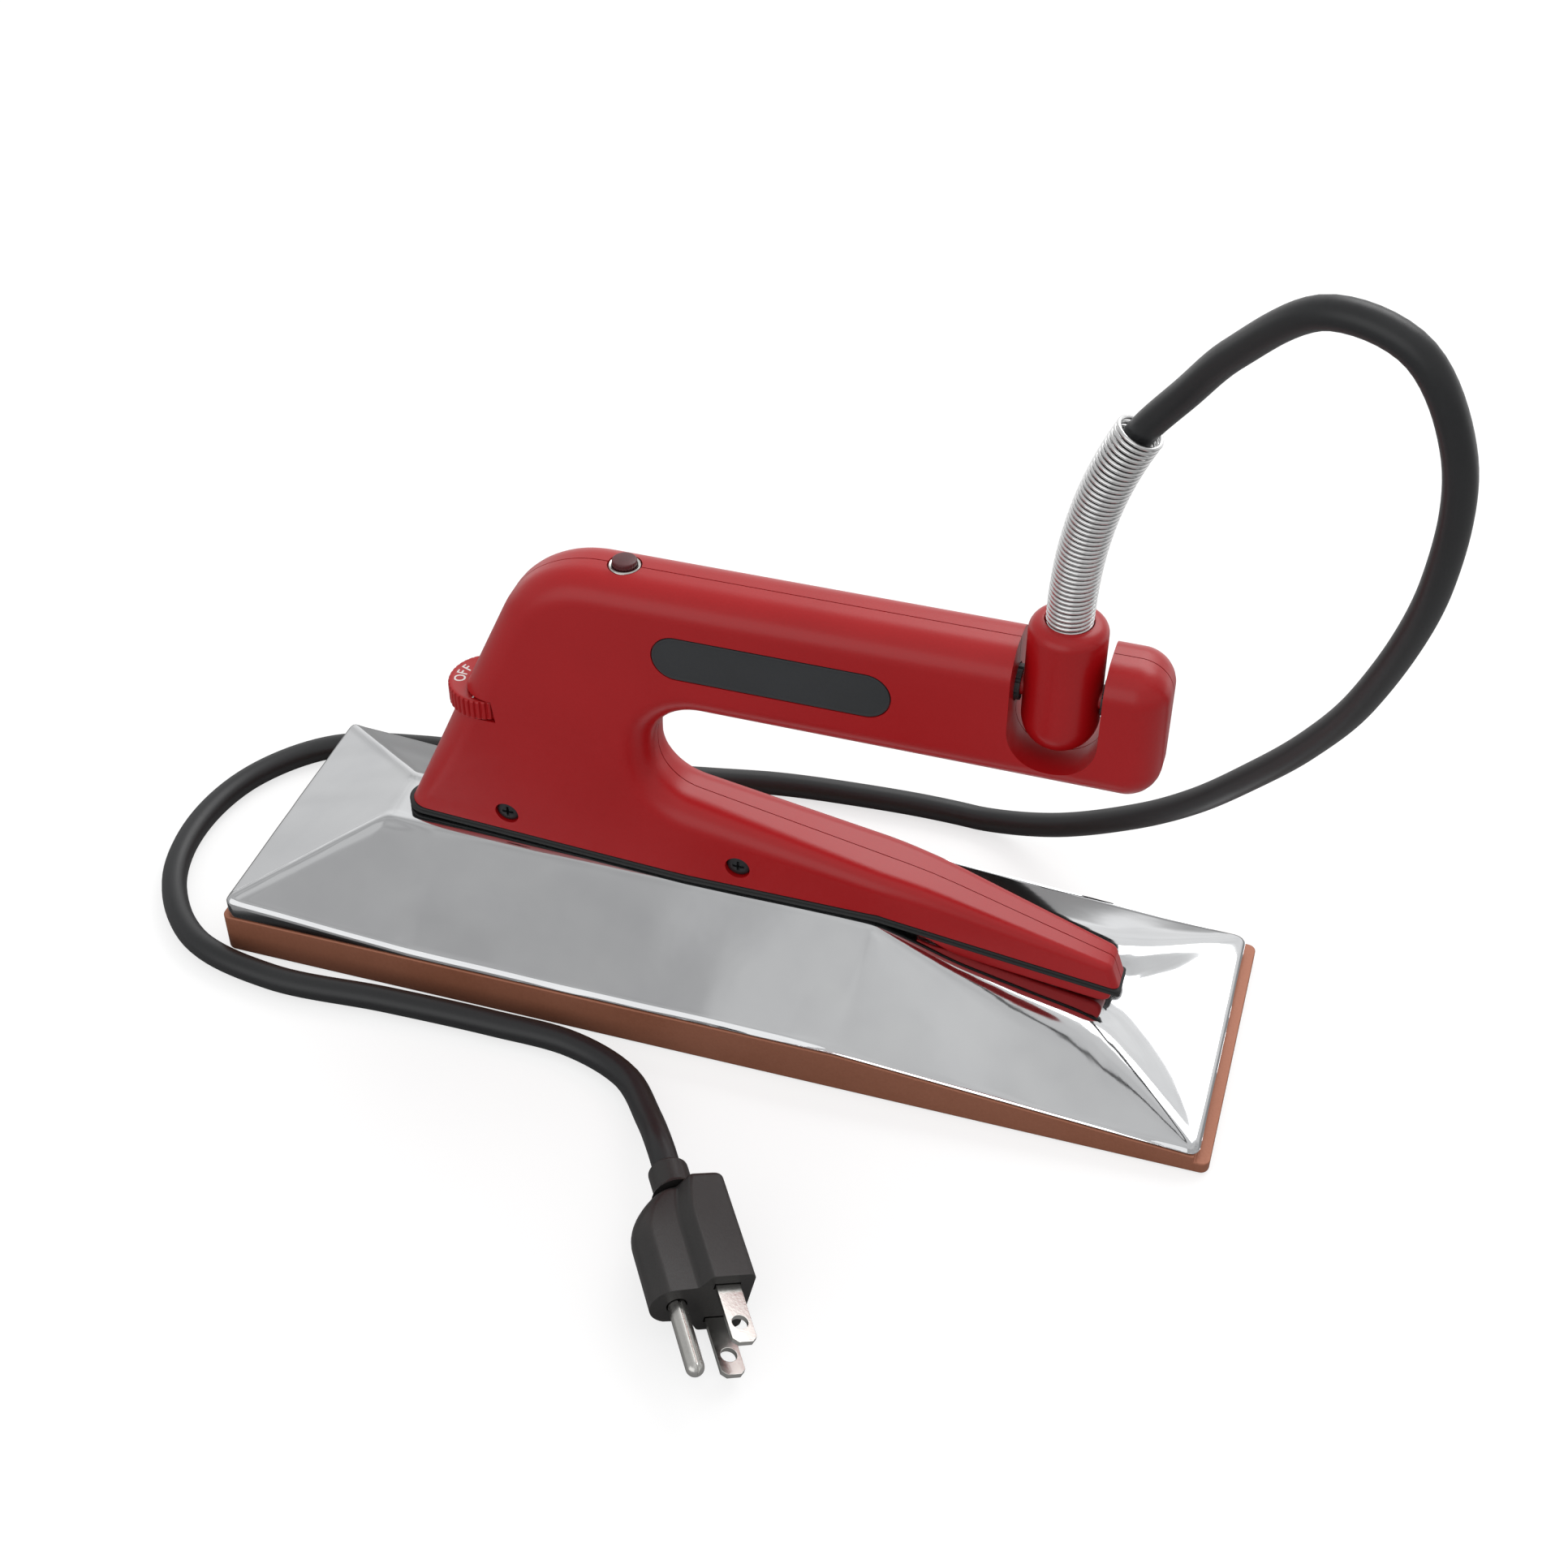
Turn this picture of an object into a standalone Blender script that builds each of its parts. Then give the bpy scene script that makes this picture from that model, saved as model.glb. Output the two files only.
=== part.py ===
"""Carpet seaming iron: sole plate, chromed heat shield, two-shell handle, thermostat dial, swivel cord gland.

Metres, +Z up. The origin is the middle of the sole's underside. +X runs from the dial end (nose) to the
narrow tail, and -Y is the side with the label. Lengths that start at the nose end go through from_nose().
"""

import math

import bmesh
import bpy
from mathutils import Matrix, Vector
from mathutils.geometry import delaunay_2d_cdt

for old in list(bpy.data.objects):
    bpy.data.objects.remove(old, do_unlink=True)

# Gaps, cuts and facets
GAP = 0.0003
OVERRUN = 0.002
SIDES = 24
SMALL_SIDES = 12
SMOOTH_ANGLE = math.radians(35)

# Sole plate
SOLE_L = 0.295
LAYOUT_L = 0.295
SOLE_W = 0.0886
SOLE_T = 0.0135
SOLE_TAPER_START = 0.190
SOLE_REAR_T = 0.0061
LEDGE_L = 0.0043
LEDGE_T = 0.0040
SOLE_EDGE_R = 0.0011
GROOVE_W = 0.0024
GROOVE_D = 0.0010
GROOVE_PITCH = 0.0120
GROOVE_PAIRS = 3
GROOVE_END = 0.0120

# Heat shield, a pressed sheet with a ridge for the handle
SHEET_T = 0.0008
SHIELD_INSET = 0.0005
SHIELD_NOSE_INSET = 0.0013
SHIELD_REAR_INSET = 0.0032
SHIELD_CORNER_R = 0.0030
SHOULDER_NOSE_Z = 0.0196
SHOULDER_MID_Z = 0.0147
SHOULDER_REAR_Z = 0.0076
RIDGE_Z = 0.0350
RIDGE_HALF_W = 0.0102
RIDGE_NOSE = 0.0406
RIDGE_DROP = 0.190
RIDGE_REAR = 0.2578
RIDGE_REAR_Z = 0.0208
RIDGE_REAR_HALF_W = 0.0140
VALLEY_REAR_Z = 0.0152
VALLEY_DEPTH = 0.0060
VALLEY_WIDTH_SHARE = 0.75
FRONT_STATIONS = 4
REAR_STATIONS = 5
CORNER_STEPS = 3

# Handle outline, seen from the side
HANDLE_HALF_W = 0.0112
SEAM_GAP = 0.0003
FOOT_NOSE = 0.0460
FRONT_LEAN = math.radians(24.9)
BROW_R = 0.0310
GRIP_TOP_Z = 0.1350
GRIP_H = 0.0400
GRIP_REAR = 0.2640
GRIP_REAR_R = 0.0092
HOOK_FRONT = 0.1243
HOOK_TOP_R = 0.0160
HOOK_LOW_R = 0.0150
HOOK_LOW_Z = 0.0646
BACK_BEND = 0.205
BACK_BEND_Z = 0.0481
BACK_BEND_R = 0.1200
TAIL_TOP_REAR = 0.2580
TAIL_TOP_Z = 0.0309
TAIL_REAR = 0.2608
TAIL_R = 0.0030
TAIL_HALF_W = 0.0051
KINK = 0.192
TAIL_FALL = 0.0151
NOSE_TAPER = 0.0050
NOSE_TAPER_END = 0.134
NOSE_TAPER_H = 0.0550
EDGE_R = 0.0085
TAIL_EDGE_R = 0.0019
OUTLINE_STEP = 0.0160
WALL = 0.0026
GRIP_BULKHEAD = 0.0052

# Gasket under the handle, and the cover under the tail
GASKET_T = 0.0024
GASKET_PROUD = 0.0004
GASKET_NOSE = 0.0446
COVER_T = 0.0041
COVER_FRONT_T = 0.0010
COVER_START = 0.204
COVER_FULL = 0.216
COVER_REAR = 0.2588
COVER_INSET = 0.0008

# Thermostat and its thumb dial
DIAL_AT = 0.0737
DIAL_R = 0.0113
DIAL_TOP_Z = 0.0870
DIAL_T = 0.0063
DIAL_KNURLS = 42
KNURL_D = 0.0004
DIAL_SLOT_R = 0.0008
DIAL_SLOT_Z = 0.0006
SHAFT_R = 0.0025
THERMOSTAT_L = 0.0240
THERMOSTAT_W = 0.0150
THERMOSTAT_H = 0.0130
THERMOSTAT_EDGE_R = 0.0010
BRACKET_CLEAR = 0.0017
BRACKET_T = 0.0012

# Heating element and what clamps it
ELEMENT_R = 0.0032
ELEMENT_FRONT = 0.0250
ELEMENT_REAR = 0.182
ELEMENT_OUTER_SHARE = 0.587
ELEMENT_INNER_Y = 0.0135
ELEMENT_END = 0.116
ELEMENT_END_Y = 0.0058
ELEMENT_END_Z = 0.0300
ELEMENT_BEND_SHARE = 0.48
PIN_R = 0.0012
PIN_TOP_Z = 0.0460
CLAMP_AT_1 = 0.050
CLAMP_AT_2 = 0.140
CLAMP_L = 0.0120
CLAMP_OVERHANG = 0.0040
CLAMP_T = 0.0012
CLAMP_SCREW_R = 0.0020
CLAMP_SCREW_DEPTH = 0.0080
SCREW_HEAD_R = 0.0034
SCREW_HEAD_T = 0.0019

# Studs, spacers, nuts and the bar that hold the handle down
STUD_AT_1 = 0.106
STUD_AT_2 = 0.170
STUD_R = 0.0024
STUD_DEPTH = 0.0070
STUD_TOP_Z = 0.0470
HOLE_CLEAR = 0.0004
SPACER_R = 0.0048
BAR_END = 0.0070
BAR_HALF_W = 0.0042
BAR_T = 0.0020
NUT_R = 0.0044
NUT_T = 0.0040

# Screws that join the shells
SHELL_SCREW_1 = 0.0793
SHELL_SCREW_2 = 0.1508
SHELL_SCREW_1_Z = 0.0447
SHELL_SCREW_2_Z = 0.0449
SHELL_SCREW_R = 0.0016
SHELL_SCREW_L = 0.0150
POST_R = 0.0044
HEAD_RECESS = 0.0008
CROSS_W = 0.0010
CROSS_L = 0.0040
CROSS_D = 0.0011

# Label plate and the screw under it; each rise is above the grip's underside
LABEL_FRONT = 0.1278
LABEL_L = 0.0655
LABEL_H = 0.0134
LABEL_RISE = 0.0204
LABEL_T = 0.0007
LABEL_DEPTH = 0.0009
LABEL_CLEAR = 0.0003

# Pilot lamp
PILOT_AT = 0.1171
BEZEL_R = 0.0045
BEZEL_TUBE_R = 0.0037
BEZEL_BORE_R = 0.0031
BEZEL_T = 0.0010
BEZEL_DEPTH = 0.0080
PILOT_SEAT_DEPTH = 0.0012
LENS_PROUD = 0.0016
LAMP_R = 0.0028
LAMP_L = 0.0090

# Swivel gland, its bushes and the notch
GLAND_AT = 0.2360
GLAND_R = 0.01025
GLAND_TOP_RISE = 0.0480
GLAND_TOP_R = 0.0034
GLAND_BALL_RISE = 0.0185
PIVOT_RISE = 0.0257
NOTCH_HALF_L = 0.0118
NOTCH_FLOOR_T = 0.0060
BUSH_R = 0.0048
BUSH_BORE_R = 0.0035
BUSH_DEPTH = 0.0056
STUB_R = 0.0032
STUB_BORE_R = 0.0021
SPRING_BORE_R = 0.0066
SPRING_SEAT_RISE = 0.0350
CORD_BORE_R = 0.0043
CORD_END_RISE = 0.0230

# Strain relief spring
WIRE_R = 0.00040
SPRING_R = 0.0056
SPRING_TURNS = 52
POINTS_PER_TURN = 8
SPRING_TOP_RISE = 0.0570
SPRING_TOP_SHIFT = 0.0122
SPRING_BEND_SHARE = 0.36

# Cord and plug
CORD_R = 0.0038
CORD_POINT_STEP = 0.0155
FLOOR_GAP = 0.0001
PLUG_AT = (0.1821, -0.1327)
PLUG_TURN = math.radians(32.9)
PLUG_ROLL = math.radians(-14)
PLUG_L = 0.0352
PLUG_HALF_H = 0.0103
PLUG_BLADE_SIDE = 0.0110
PLUG_BOX_EDGE = -0.0005
PLUG_BOX_EDGE_REAR = 0.0025
PLUG_VALLEY_W = 0.0027
PLUG_LOBE_L = 0.0190
PLUG_LOBE_HALF_W = 0.0071
PLUG_LOBE_HALF_H = 0.0063
PLUG_CORNER_R = 0.0016
PLUG_RIM_R = 0.0008
PLUG_REAR_R = 0.0026
PLUG_COLLAR_R = 0.0054
PLUG_COLLAR_L = 0.0090
PLUG_COLLAR_AT = 0.0005
PLUG_COLLAR_EDGE_R = 0.0008
CORD_FALL_SHARE = 0.55
BLADE_W = 0.00635
BLADE_T = 0.0015
BLADE_L = 0.0178
BLADE_SPACING = 0.0127
BLADE_OFFSET = 0.0040
BLADE_HOLE_R = 0.0020
BLADE_HOLE_AT = 0.0118
BLADE_CHAMFER = 0.0014
EARTH_R = 0.0024
EARTH_L = 0.0212
EARTH_SPACING = 0.0119
BLADE_ROOT = 0.0060

# Leads inside the handle
LEAD_R = 0.0010
LEAD_Y = 0.0032
LEAD_RUN_RISE = 0.0115

# Sizes that follow from the sizes above
ELEMENT_OUTER_Y = SOLE_W / 2 * ELEMENT_OUTER_SHARE
ELEMENT_BEND_R = (ELEMENT_OUTER_Y - ELEMENT_INNER_Y) * ELEMENT_BEND_SHARE
CLAMP_HALF_W = ELEMENT_OUTER_Y + CLAMP_OVERHANG
GASKET_Z = RIDGE_Z + GAP
FOOT_Z = GASKET_Z + GASKET_T + GAP
BAR_Z = GASKET_Z + GASKET_T + GAP
GRIP_BOTTOM_Z = GRIP_TOP_Z - GRIP_H
LABEL_Z = GRIP_BOTTOM_Z + LABEL_RISE
PILOT_SEAT_Z = GRIP_TOP_Z - PILOT_SEAT_DEPTH
NOTCH_FLOOR_Z = GRIP_BOTTOM_Z + NOTCH_FLOOR_T
GLAND_BALL_Z = GRIP_BOTTOM_Z + GLAND_BALL_RISE
CORD_END_Z = GRIP_BOTTOM_Z + CORD_END_RISE
PIVOT_Z = GRIP_BOTTOM_Z + PIVOT_RISE
SPRING_SEAT_Z = GRIP_BOTTOM_Z + SPRING_SEAT_RISE
GLAND_TOP_Z = GRIP_BOTTOM_Z + GLAND_TOP_RISE
LEAD_RUN_Z = GRIP_BOTTOM_Z + LEAD_RUN_RISE
TAIL_SLOPE = TAIL_FALL / (TAIL_REAR - KINK)
UNDERCUT_Z = FOOT_Z - TAIL_FALL - EDGE_R


def from_nose(distance):
    """X of a place that lies this far behind the nose end of a sole of LAYOUT_L; a longer sole spreads them."""
    return (distance / LAYOUT_L - 0.5) * SOLE_L


# Materials
def material(name, colour, metallic, roughness):
    made = bpy.data.materials.new(name)
    made.use_nodes = True
    shader = made.node_tree.nodes["Principled BSDF"]
    shader.inputs["Base Color"].default_value = (*colour, 1)
    shader.inputs["Metallic"].default_value = metallic
    shader.inputs["Roughness"].default_value = roughness
    return made


def finish(kind, name):
    """A material of its own for each node, from the finish that the node shares with others."""
    colour, metallic, roughness = FINISHES[kind]
    return material(f"{name}_{kind}", colour, metallic, roughness)


FINISHES = {
    "red_plastic": ((0.42, 0.02, 0.025), 0, 0.38),
    "black_plastic": ((0.03, 0.03, 0.03), 0, 0.45),
    "black_rubber": ((0.025, 0.025, 0.025), 0, 0.6),
    "coated_sole": ((0.25, 0.09, 0.05), 0.6, 0.42),
    "chrome": ((0.75, 0.75, 0.77), 1, 0.06),
    "steel": ((0.6, 0.6, 0.6), 1, 0.3),
    "nickel": ((0.72, 0.7, 0.66), 1, 0.2),
    "ceramic": ((0.8, 0.78, 0.7), 0, 0.6),
    "lens": ((0.12, 0.01, 0.02), 0, 0.08),
    "glass": ((0.8, 0.5, 0.4), 0, 0.1),
    "copper_lead": ((0.5, 0.4, 0.35), 0, 0.5),
}


# Mesh helpers
def add_mesh(name, kind, verts, faces, smooth=True):
    mesh = bpy.data.meshes.new(name)
    mesh.from_pydata([tuple(v) for v in verts], [], faces)
    edit = bmesh.new()
    edit.from_mesh(mesh)
    bmesh.ops.recalc_face_normals(edit, faces=edit.faces)
    edit.to_mesh(mesh)
    edit.free()
    return add_object(name, kind, mesh, smooth)


def add_object(name, kind, mesh, smooth=True):
    made = bpy.data.objects.new(name, mesh)
    bpy.context.scene.collection.objects.link(made)
    if kind is not None:
        mesh.materials.append(finish(kind, name))
    if smooth:
        mesh.shade_smooth()
        mesh.set_sharp_from_angle(angle=SMOOTH_ANGLE)
    return made


def hide_tool(tool):
    tool.hide_render = True
    tool.display_type = "WIRE"
    return tool


def boolean(target, tool, operation):
    hide_tool(tool)
    modifier = target.modifiers.new(f"{operation.lower()}_{tool.name}", "BOOLEAN")
    modifier.object = tool
    modifier.operation = operation
    modifier.solver = "EXACT"


def cut(target, *tools):
    for tool in tools:
        boolean(target, tool, "DIFFERENCE")


def join(target, *tools):
    for tool in tools:
        boolean(target, tool, "UNION")


def bevel(target, width, segments=2, angle=math.radians(40)):
    modifier = target.modifiers.new("edge", "BEVEL")
    modifier.width = width
    modifier.segments = segments
    modifier.limit_method = "ANGLE"
    modifier.angle_limit = angle


def box(name, kind, low, high):
    verts = [(x, y, z) for x in (low[0], high[0]) for y in (low[1], high[1]) for z in (low[2], high[2])]
    faces = [(0, 1, 3, 2), (4, 6, 7, 5), (0, 4, 5, 1), (2, 3, 7, 6), (0, 2, 6, 4), (1, 5, 7, 3)]
    return add_mesh(name, kind, verts, faces, smooth=False)


def prism(name, kind, outline, low, high, to_point, smooth=True):
    """Extrude a closed 2-D outline between two levels; to_point turns (u, v, level) into a place."""
    count = len(outline)
    verts = [to_point(u, v, level) for level in (low, high) for u, v in outline]
    faces = [tuple(reversed(range(count))), tuple(range(count, 2 * count))]
    faces += [(i, (i + 1) % count, (i + 1) % count + count, i + count) for i in range(count)]
    return add_mesh(name, kind, verts, faces, smooth)


def turned(name, kind, profile, centre, axis="Z", sides=SIDES):
    """Turn a profile of (radius, height) pairs round an axis through centre; radius zero closes an end."""
    rows = []
    verts = []
    for radius, height in profile:
        if radius == 0:
            rows.append([len(verts)] * sides)
            verts.append(axis_point(centre, axis, 0, 0, height))
            continue
        rows.append([len(verts) + i for i in range(sides)])
        for i in range(sides):
            angle = facet_angle(i, sides, axis)
            verts.append(axis_point(centre, axis, radius * math.cos(angle), radius * math.sin(angle), height))
    faces = []
    for low, high in zip(rows, rows[1:]):
        for i in range(sides):
            j = (i + 1) % sides
            loop = []
            for index in (low[i], low[j], high[j], high[i]):
                if index not in loop:
                    loop.append(index)
            if len(loop) > 2:
                faces.append(tuple(loop))
    if rows[0][0] != rows[0][1]:
        faces.append(tuple(reversed(rows[0])))
    if rows[-1][0] != rows[-1][1]:
        faces.append(tuple(rows[-1]))
    return add_mesh(name, kind, verts, faces)


def ring(name, kind, profile, centre, axis="Z", sides=SIDES):
    """Turn a closed profile of (radius, height) pairs that never touches the axis."""
    verts = []
    for radius, height in profile:
        for i in range(sides):
            angle = facet_angle(i, sides, axis)
            verts.append(axis_point(centre, axis, radius * math.cos(angle), radius * math.sin(angle), height))
    faces = []
    for row in range(len(profile)):
        below = row * sides
        above = (row + 1) % len(profile) * sides
        for i in range(sides):
            j = (i + 1) % sides
            faces.append((below + i, below + j, above + j, above + i))
    return add_mesh(name, kind, verts, faces)


def facet_angle(i, sides, axis):
    """Pieces along X are turned half a facet, so that their edges never meet those of upright pieces."""
    phase = 0.5 if axis == "X" else 0
    return math.tau * (i + phase) / sides


def axis_point(centre, axis, across, up, along):
    if axis == "X":
        return Vector(centre) + Vector((along, across, up))
    if axis == "Y":
        return Vector(centre) + Vector((across, along, up))
    return Vector(centre) + Vector((across, up, along))


def rod(name, kind, centre, radius, low, high, axis="Z", sides=SIDES):
    return turned(name, kind, [(radius, low), (radius, high)], centre, axis, sides)


def tube_ring(name, kind, centre, outer, inner, low, high, axis="Z", sides=SIDES):
    return ring(name, kind, [(outer, low), (outer, high), (inner, high), (inner, low)], centre, axis, sides)


def smooth_curve(points, step):
    """Points about a step apart on a Catmull-Rom curve through the given ones."""
    points = [Vector(p) for p in points]
    padded = [2 * points[0] - points[1]] + points + [2 * points[-1] - points[-2]]
    dense = []
    for i in range(1, len(padded) - 2):
        before, start, end, after = padded[i - 1:i + 3]
        pieces = max(4, round((end - start).length / step) * 4)
        for k in range(pieces):
            dense.append(catmull_rom(before, start, end, after, k / pieces))
    dense.append(points[-1])
    return even_points(dense, step)


def catmull_rom(before, start, end, after, t):
    """Centripetal Catmull-Rom point between start and end."""
    knots = [0]
    for a, b in ((before, start), (start, end), (end, after)):
        knots.append(knots[-1] + math.sqrt((b - a).length))
    u = knots[1] + t * (knots[2] - knots[1])
    level = [before, start, end, after]
    for order in (1, 2, 3):
        level = [mix_points(level[i], level[i + 1], knots, order, i, u) for i in range(len(level) - 1)]
    return level[0]


def mix_points(left, right, knots, order, index, u):
    if order == 1:
        low, high = knots[index], knots[index + 1]
    elif order == 2:
        low, high = knots[index], knots[index + 2]
    else:
        low, high = knots[1], knots[2]
    share = (u - low) / (high - low)
    return left.lerp(right, share)


def even_points(dense, step):
    lengths = [0]
    for a, b in zip(dense, dense[1:]):
        lengths.append(lengths[-1] + (b - a).length)
    count = max(2, round(lengths[-1] / step))
    made = []
    cursor = 0
    for k in range(count + 1):
        target = lengths[-1] * k / count
        while cursor < len(dense) - 2 and lengths[cursor + 1] < target:
            cursor += 1
        span = lengths[cursor + 1] - lengths[cursor]
        share = min(1, (target - lengths[cursor]) / span)
        made.append(dense[cursor].lerp(dense[cursor + 1], share))
    return made


def pivot(name, place, children):
    """An empty on a joint's axis that carries the pieces that turn with it."""
    empty = bpy.data.objects.new(name, None)
    empty.location = place
    bpy.context.scene.collection.objects.link(empty)
    for child in children:
        child.parent = empty
        child.matrix_parent_inverse = Matrix.Translation(place).inverted()


def tube(name, kind, points, radius, resolution):
    """A filled poly curve with a round section."""
    curve = bpy.data.curves.new(name, "CURVE")
    curve.dimensions = "3D"
    curve.bevel_depth = radius
    curve.bevel_resolution = resolution
    curve.use_fill_caps = True
    spline = curve.splines.new("POLY")
    spline.points.add(len(points) - 1)
    for slot, point in zip(spline.points, points):
        slot.co = (*point, 1)
        slot.tilt = 0
    made = bpy.data.objects.new(name, curve)
    bpy.context.scene.collection.objects.link(made)
    curve.materials.append(finish(kind, name))
    return made


# Outlines
def fillet_outline(corners, arc_step=math.radians(12), steps=None):
    """Closed outline from (u, v, radius) corners, with each corner turned into an arc.

    The arcs have a piece for each arc_step, or as many as steps says.
    """
    made = []
    count = len(corners)
    for i, (u, v, radius) in enumerate(corners):
        corner = Vector((u, v))
        back = (Vector(corners[i - 1][:2]) - corner).normalized()
        ahead = (Vector(corners[(i + 1) % count][:2]) - corner).normalized()
        opening = back.angle(ahead)
        turn = math.pi - opening
        if radius == 0 or turn < math.radians(2):
            made.append(corner)
            continue
        reach = radius / math.tan(opening / 2)
        centre = corner + (back + ahead).normalized() * radius / math.sin(opening / 2)
        start = corner + back * reach - centre
        end = corner + ahead * reach - centre
        pieces = steps or max(2, round(turn / arc_step))
        side = 1 if start.x * end.y > start.y * end.x else -1
        for k in range(pieces + 1):
            angle = side * turn * k / pieces
            made.append(centre + Matrix.Rotation(angle, 2) @ start)
    return made


def split_long_edges(outline, longest):
    made = []
    for a, b in zip(outline, outline[1:] + outline[:1]):
        pieces = max(1, math.ceil((b - a).length / longest))
        made += [a.lerp(b, k / pieces) for k in range(pieces)]
    return made


def inward_normals(outline):
    """Miter directions that point into a counter-clockwise outline, scaled to keep an even inset."""
    made = []
    count = len(outline)
    for i in range(count):
        back = (outline[i] - outline[i - 1]).normalized()
        ahead = (outline[(i + 1) % count] - outline[i]).normalized()
        left = Vector((-back.y, back.x)) + Vector((-ahead.y, ahead.x))
        half = left.normalized()
        scale = 1 / max(0.5, half.dot(Vector((-ahead.y, ahead.x))))
        made.append(half * scale)
    return made


def front_x(z, inset=0):
    """The leaning front line of the handle at a height, moved in by an inset."""
    return FOOT_NOSE + (z - FOOT_Z) * math.tan(FRONT_LEAN) + inset / math.cos(FRONT_LEAN)


def back_z(x):
    """Top of the lower body between the hook and the back bend."""
    share = (x - BACK_BEND) / (HOOK_FRONT - BACK_BEND)
    return BACK_BEND_Z + (HOOK_LOW_Z - BACK_BEND_Z) * share


def foot_line(x):
    """Height of the shells' lower edge, level at first and falling along the tail."""
    return FOOT_Z - max(0, x - KINK) * TAIL_SLOPE


def handle_corners():
    """Corners of the handle's side outline, counter-clockwise seen from -Y, as (x, z, radius).

    It reaches below the foot, so that the rounded edges run straight down to the cut along the foot.
    """
    low = UNDERCUT_Z
    end_lean = (TAIL_REAR - TAIL_TOP_REAR) / (TAIL_TOP_Z - foot_line(TAIL_REAR))
    return [
        (front_x(low), low, 0),
        (TAIL_REAR + (foot_line(TAIL_REAR) - low) * end_lean, low, 0),
        (TAIL_TOP_REAR, TAIL_TOP_Z, TAIL_R),
        (BACK_BEND, BACK_BEND_Z, BACK_BEND_R),
        (HOOK_FRONT, HOOK_LOW_Z, HOOK_LOW_R),
        (HOOK_FRONT, GRIP_BOTTOM_Z, HOOK_TOP_R),
        (GRIP_REAR, GRIP_BOTTOM_Z, GRIP_REAR_R),
        (GRIP_REAR, GRIP_TOP_Z, GRIP_REAR_R),
        (front_x(GRIP_TOP_Z), GRIP_TOP_Z, BROW_R),
    ]


def cavity_corners():
    """The hollow in both shells: open below, closed ahead of the notch and of the solid tail."""
    low = UNDERCUT_Z
    bulkhead = GLAND_AT - NOTCH_HALF_L - GRIP_BULKHEAD
    rear = HOOK_FRONT - WALL
    return [
        (front_x(low, WALL), low, 0),
        (KINK, low, 0),
        (KINK, back_z(KINK) - WALL, 0),
        (rear, back_z(rear) - WALL, HOOK_LOW_R + WALL),
        (rear, GRIP_BOTTOM_Z + WALL, HOOK_TOP_R + WALL),
        (bulkhead, GRIP_BOTTOM_Z + WALL, 0),
        (bulkhead, GRIP_TOP_Z - WALL, 0),
        (front_x(GRIP_TOP_Z - WALL, WALL), GRIP_TOP_Z - WALL, BROW_R - WALL),
    ]


def edge_radius(point):
    """Radius of the handle's outer edge where the outline passes this point: smaller along the tail."""
    x, z = point
    reach = min(1, max(0, (x - HOOK_FRONT) / (TAIL_REAR - HOOK_FRONT)))
    hook = min(1, max(0, (GRIP_BOTTOM_Z - z) / (GRIP_BOTTOM_Z - HOOK_LOW_Z)))
    return EDGE_R + (TAIL_EDGE_R - EDGE_R) * reach * hook


def half_width(x, z):
    """Half width of the handle: the foot narrows to the nose, and the tail narrows at every height."""
    width = HANDLE_HALF_W
    if x < NOSE_TAPER_END:
        low = min(1, max(0, 1 - (z - FOOT_Z) / NOSE_TAPER_H))
        width -= NOSE_TAPER * low * (NOSE_TAPER_END - x) / (NOSE_TAPER_END - FOOT_NOSE)
    if x > KINK and z < GRIP_BOTTOM_Z - OVERRUN:
        share = min(1, (x - KINK) / (TAIL_REAR - KINK))
        width -= (HANDLE_HALF_W - TAIL_HALF_W) * share
    return width


def filled_cap(outline, spacing):
    """Triangles that fill an outline, with a grid of points inside it."""
    count = len(outline)
    xs = [p.x for p in outline]
    zs = [p.y for p in outline]
    grid = []
    columns = math.ceil((max(xs) - min(xs)) / spacing)
    rows = math.ceil((max(zs) - min(zs)) / spacing)
    for i in range(1, columns):
        for j in range(1, rows):
            point = Vector((min(xs) + (max(xs) - min(xs)) * i / columns, min(zs) + (max(zs) - min(zs)) * j / rows))
            if clear_inside(point, outline, spacing / 2):
                grid.append(point)
    loop = list(range(count))
    points, _, faces, *_ = delaunay_2d_cdt(list(outline) + grid, [], [loop], 1, SHEET_T * 0.001)
    return points, faces


def clear_inside(point, outline, margin):
    inside = False
    for a, b in zip(outline, outline[1:] + outline[:1]):
        if (a.y > point.y) != (b.y > point.y):
            if point.x < a.x + (b.x - a.x) * (point.y - a.y) / (b.y - a.y):
                inside = not inside
        along = b - a
        share = min(1, max(0, (point - a).dot(along) / along.length_squared))
        if (a + along * share - point).length < margin:
            return False
    return inside


def handle_solid(name, kind, side, outline, radii, width_of, start, rings):
    """Half of the handle on one side of the seam: a slab whose outer edge is rounded by each point's radius."""
    inward = inward_normals(outline)
    count = len(outline)
    radii = [min(r, width_of(p.x, p.y) - abs(start) - GAP) for p, r in zip(outline, radii)]
    verts = [Vector((p.x, side * start, p.y)) for p in outline]
    for k in range(rings + 1):
        angle = math.pi / 2 * k / rings
        for p, normal, radius in zip(outline, inward, radii):
            moved = p + normal * radius * (1 - math.cos(angle))
            width = width_of(moved.x, moved.y)
            verts.append(Vector((moved.x, side * (width - radius * (1 - math.sin(angle))), moved.y)))
    faces = [tuple(range(count))]
    for row in range(rings + 1):
        for i in range(count):
            j = (i + 1) % count
            faces.append((row * count + i, row * count + j, (row + 1) * count + j, (row + 1) * count + i))
    rim = [Vector((v.x, v.z)) for v in verts[-count:]]
    points, cap = filled_cap(rim, OUTLINE_STEP)
    base = len(verts) - count
    for point in points[count:]:
        verts.append(Vector((point.x, side * width_of(point.x, point.y), point.y)))
    faces += [tuple(base + index for index in face) for face in cap]
    for vert in verts:
        vert.x = from_nose(vert.x)
    return add_mesh(name, kind, verts, faces)


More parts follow.
